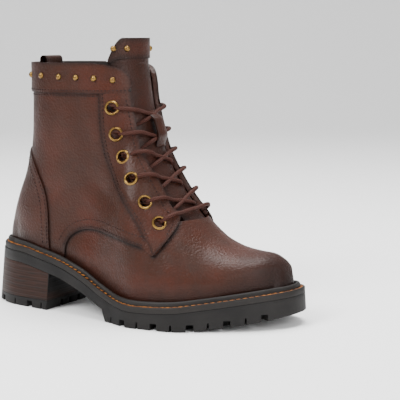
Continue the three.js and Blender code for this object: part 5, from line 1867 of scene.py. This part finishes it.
@dataclass
class Lace:
    """Round lace run through the eyelets, with a bar at the bottom."""

    last: Last
    finishes: Finishes
    radius: float = 1.6
    over: float = 5.4
    cross: float = -1.0
    under: float = -3.9
    run_points: int = 29
    halvings: int = 26
    reach: float = 80.0
    sides: int = 12

    def ahead_normal(self, z: float) -> Array:
        """Direction out of the crest in side view."""
        lean = float(self.last.front_line(z + 1) - self.last.front_line(z - 1)) / 2
        found = np.array([1.0, 0.0, -lean])
        return found / np.linalg.norm(found)

    def surface_run(self, start: tuple, end: tuple, count: int) -> tuple[Array, Array]:
        """Points on the last's surface between two eyelets, over the throat.

        Args:
            start: station, height and side of the first eyelet.
            end: the same of the second.
            count: points wanted.

        Returns:
            Points in millimetres in the station frame, and outward directions.
        """
        last = self.last
        ends = [np.array([x, float(last.surface_y(x, z, s)), z]) for x, z, s in (start, end)]
        spots, normals = [], []
        for share in np.linspace(0, 1, count):
            chord = ends[0] * (1 - share) + ends[1] * share
            ahead = self.ahead_normal(chord[2] + 8.0)
            near, far = 0.0, self.reach
            for _ in range(self.halvings):
                middle = 0.5 * (near + far)
                at = chord + ahead * middle
                offset = at[1] - float(last.centre(last.foot_share(at[0])))
                room = float(last.half_square(at[0], at[2], -1.0 if offset < 0 else 1.0))
                if at[0] < float(last.front_line(at[2])) and offset**2 < room:
                    near = middle
                else:
                    far = middle
            at = chord + ahead * near
            side = -1.0 if at[1] < float(last.centre(last.foot_share(at[0]))) else 1.0
            spots.append(at)
            normals.append(last.normal(at[0], min(at[2], FITTING_TOP), side, 1.5))
        return np.array(spots), np.array(normals)

    def run(self, start: tuple, end: tuple, bar: bool) -> Array:
        """One run, out of an eyelet and over its edge, and under the far edge or into its hole.

        Args:
            start: station, height and side of the eyelet it comes out of.
            end: the same of the eyelet it goes to.
            bar: whether it lies over both edges.

        Returns:
            Points in millimetres in the station frame.
        """
        spots, normals = self.surface_run(start, end, self.run_points)
        share = np.linspace(0, 1, self.run_points)
        rise = self.under + (self.over - self.under) * ease(0.0, 0.06, share)
        level = rise + (self.cross - self.over) * ease(0.14, 0.36, share)
        if bar:
            tail = self.under + (self.over - self.under) * ease(0.0, 0.06, 1 - share)
            lift = self.over + (self.cross + 1.5 - self.over) * ease(0.14, 0.36, np.minimum(share, 1 - share))
            level = np.where(share < 0.06, rise, np.where(share > 0.94, tail, lift))
        else:
            level = level + (self.under - self.cross) * ease(0.66, 0.8, share)
        return spots + normals * level[:, None]

    def path(self) -> list[Array]:
        """The whole lace as one chain of runs."""
        spots = side_line(EYELETS, self.last)
        order = [(0, -1), (1, 1), (2, -1), (3, 1), (4, -1), (5, 1)]
        back = [(5, -1), (4, 1), (3, -1), (2, 1), (1, -1), (0, 1)]
        runs = []
        for (a, sa), (b, sb) in zip(order, order[1:]):
            runs.append(self.run((*spots[a], sa), (*spots[b], sb), False))
        runs.append(self.run((*spots[5], 1), (*spots[5], -1), True))
        for (a, sa), (b, sb) in zip(back, back[1:]):
            far = self.run((*spots[b], sb), (*spots[a], sa), False)
            runs.append(far[::-1])
        return runs

    def build(self) -> None:
        """Make the lace as one tube for each run, joined where they meet inside the eyelets."""
        bm = bmesh.new()
        bm.loops.layers.uv.new("cord")
        for points in self.path():
            self.tube(bm, points)
        piece = add_piece("lace_cord", bm, [self.finishes.lace])
        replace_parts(piece, "lace")

    def tube(self, bm: Sheet, points: Array) -> None:
        """Add one tube with a UV map along and round it.

        Args:
            bm: the mesh so far.
            points: the path in millimetres in the station frame.
        """
        fine = smooth_line(points, 3)
        walked = walked_along(fine)
        ahead = np.gradient(fine, axis=0)
        ahead /= np.linalg.norm(ahead, axis=1, keepdims=True)
        up = np.array([0.0, 0.0, 1.0])
        rings = []
        for at, forward in zip(fine, ahead):
            across = np.cross(up, forward)
            across /= np.linalg.norm(across)
            up = np.cross(forward, across)
            turns = np.linspace(0, 2 * math.pi, self.sides + 1)
            rings.append(at + self.radius * (np.cos(turns)[:, None] * across + np.sin(turns)[:, None] * up))
        grid = (np.array(rings) - np.array([ORIGIN_STATION, 0, 0])) * MM
        made = grid_mesh(grid, grid - ((fine - np.array([ORIGIN_STATION, 0, 0])) * MM)[:, None, :])
        layer = made.loops.layers.uv.new("cord")
        index = {v: i for i, v in enumerate(made.verts)}
        for face in made.faces:
            for corner in face.loops:
                i = index[corner.vert]
                corner[layer].uv = (walked[i // (self.sides + 1)], (i % (self.sides + 1)) / self.sides)
        bmesh.ops.remove_doubles(made, verts=made.verts[:], dist=0.01 * MM)
        bmesh.ops.holes_fill(made, edges=[e for e in made.edges if e.is_boundary], sides=0)
        mesh = bpy.data.meshes.new("run")
        made.to_mesh(mesh)
        made.free()
        bm.from_mesh(mesh)
        bpy.data.meshes.remove(mesh)


@dataclass(frozen=True)
class Studio:
    """Camera, lights, floor and backdrop."""

    camera_at: tuple[float, float, float] = (632.9, -819.3, 222.8)
    azimuth: float = 30.1
    pitch: float = -7.7
    focal_px: float = 1217.0
    image_px: float = 400.0
    sensor: float = 36.0
    surround: float = 0.75

    def make_camera(self) -> None:
        """The camera that the photograph was taken from."""
        data = bpy.data.cameras.new("camera")
        data.sensor_width = self.sensor
        data.lens = self.focal_px / self.image_px * self.sensor
        data.clip_end = 60.0
        camera = bpy.data.objects.new("camera", data)
        camera.location = Vector(self.camera_at) * MM
        camera.rotation_euler = (math.radians(90 + self.pitch), 0, math.radians(self.azimuth))
        bpy.context.scene.collection.objects.link(camera)
        bpy.context.scene.camera = camera

    def add_light(self, name: str, at: tuple, aim: tuple, size: tuple[float, float], power: float) -> None:
        """One soft box.

        Args:
            name: its name.
            at: its place in metres.
            aim: what it points at in metres.
            size: its width and height in metres.
            power: in watts.
        """
        data = bpy.data.lights.new(name, "AREA")
        data.shape = "RECTANGLE"
        data.size, data.size_y = size
        data.energy = power
        light = bpy.data.objects.new(name, data)
        light.location = at
        light.rotation_euler = (Vector(aim) - Vector(at)).to_track_quat("-Z", "Y").to_euler()
        bpy.context.scene.collection.objects.link(light)

    def make_floor(self) -> None:
        """A pale floor that sweeps up into a backdrop behind the boot."""
        azimuth = math.radians(self.azimuth)
        away = np.array([-math.sin(azimuth), math.cos(azimuth), 0.0])
        right = np.array([math.cos(azimuth), math.sin(azimuth), 0.0])
        turn = np.linspace(0, math.pi / 2, 14)
        profile = [(-4.0, 0.0), (0.0, 0.0), (1.6, 0.0)]
        profile += [(1.8 + 1.2 * math.sin(t), 1.2 * (1 - math.cos(t))) for t in turn]
        profile += [(3.0, 5.0)]
        rows = [away * p + np.array([0, 0, h]) for p, h in profile]
        across = np.linspace(-5, 5, 5)
        points = np.array([[row + right * a for a in across] for row in rows])
        bm = grid_mesh(points, np.broadcast_to(-away + np.array([0, 0, 1.0]), points.shape))
        mesh = bpy.data.meshes.new("floor")
        bm.to_mesh(mesh)
        bm.free()
        mesh.shade_smooth()
        made, tree, shader, place = new_material("studio_paper")
        cloud = noise(tree, place, 300.0)
        tint = mix(tree, span(tree, cloud, 0.3, 0.7, 0.0, 0.05), linear(Shade.FLOOR), (0.8, 0.8, 0.8, 1.0))
        tree.links.new(tint, shader.inputs["Base Color"])
        shader.inputs["Roughness"].default_value = 0.9
        mesh.materials.append(made)
        floor = bpy.data.objects.new("floor", mesh)
        bpy.context.scene.collection.objects.link(floor)

    def make_world(self) -> None:
        """Even pale surroundings."""
        world = bpy.data.worlds.new("studio")
        world.use_nodes = True
        back = world.node_tree.nodes["Background"]
        back.inputs["Color"].default_value = (1.0, 1.0, 1.0, 1.0)
        back.inputs["Strength"].default_value = self.surround
        bpy.context.scene.world = world

    def build(self) -> None:
        """Set up the studio."""
        self.make_camera()
        self.make_world()
        self.make_floor()
        self.add_light("key", (-0.35, -1.25, 1.35), (0.03, 0.0, 0.1), (0.7, 0.9), 44.0)
        self.add_light("fill", (1.5, -0.7, 0.8), (0.1, 0.0, 0.08), (0.5, 1.0), 18.0)
        self.add_light("top", (0.1, 0.25, 1.6), (0.08, 0.0, 0.05), (1.2, 0.8), 50.0)


def dress_kept(frame: dict, finishes: Finishes) -> None:
    """Give the CAD nodes that stay their finishes.

    Args:
        finishes: the boot's finishes.
    """
    looks = {"insole": finishes.lining, "zip_slider": finishes.steel, "zip_pull": finishes.steel}
    for name, look in looks.items():
        node = frame["nodes"][name]
        node = bpy.data.objects[node] if isinstance(node, str) else node
        node.data.materials.clear()
        node.data.materials.append(look)


def main(frame: dict) -> None:
    """Build the boot and the studio.
    """
    logging.basicConfig(level=logging.INFO, format="%(message)s")
    Studio().build()
    finishes = Finishes()
    last = Last()
    Sole(last, finishes).build()
    upper = Upper(last, finishes)
    upper.build()
    Tongue(last, finishes).build()
    Hardware(last, finishes, upper).build()
    Lace(last, finishes).build()
    dress_kept(frame, finishes)


if __name__ == "__main__":
    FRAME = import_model()
    main(FRAME)
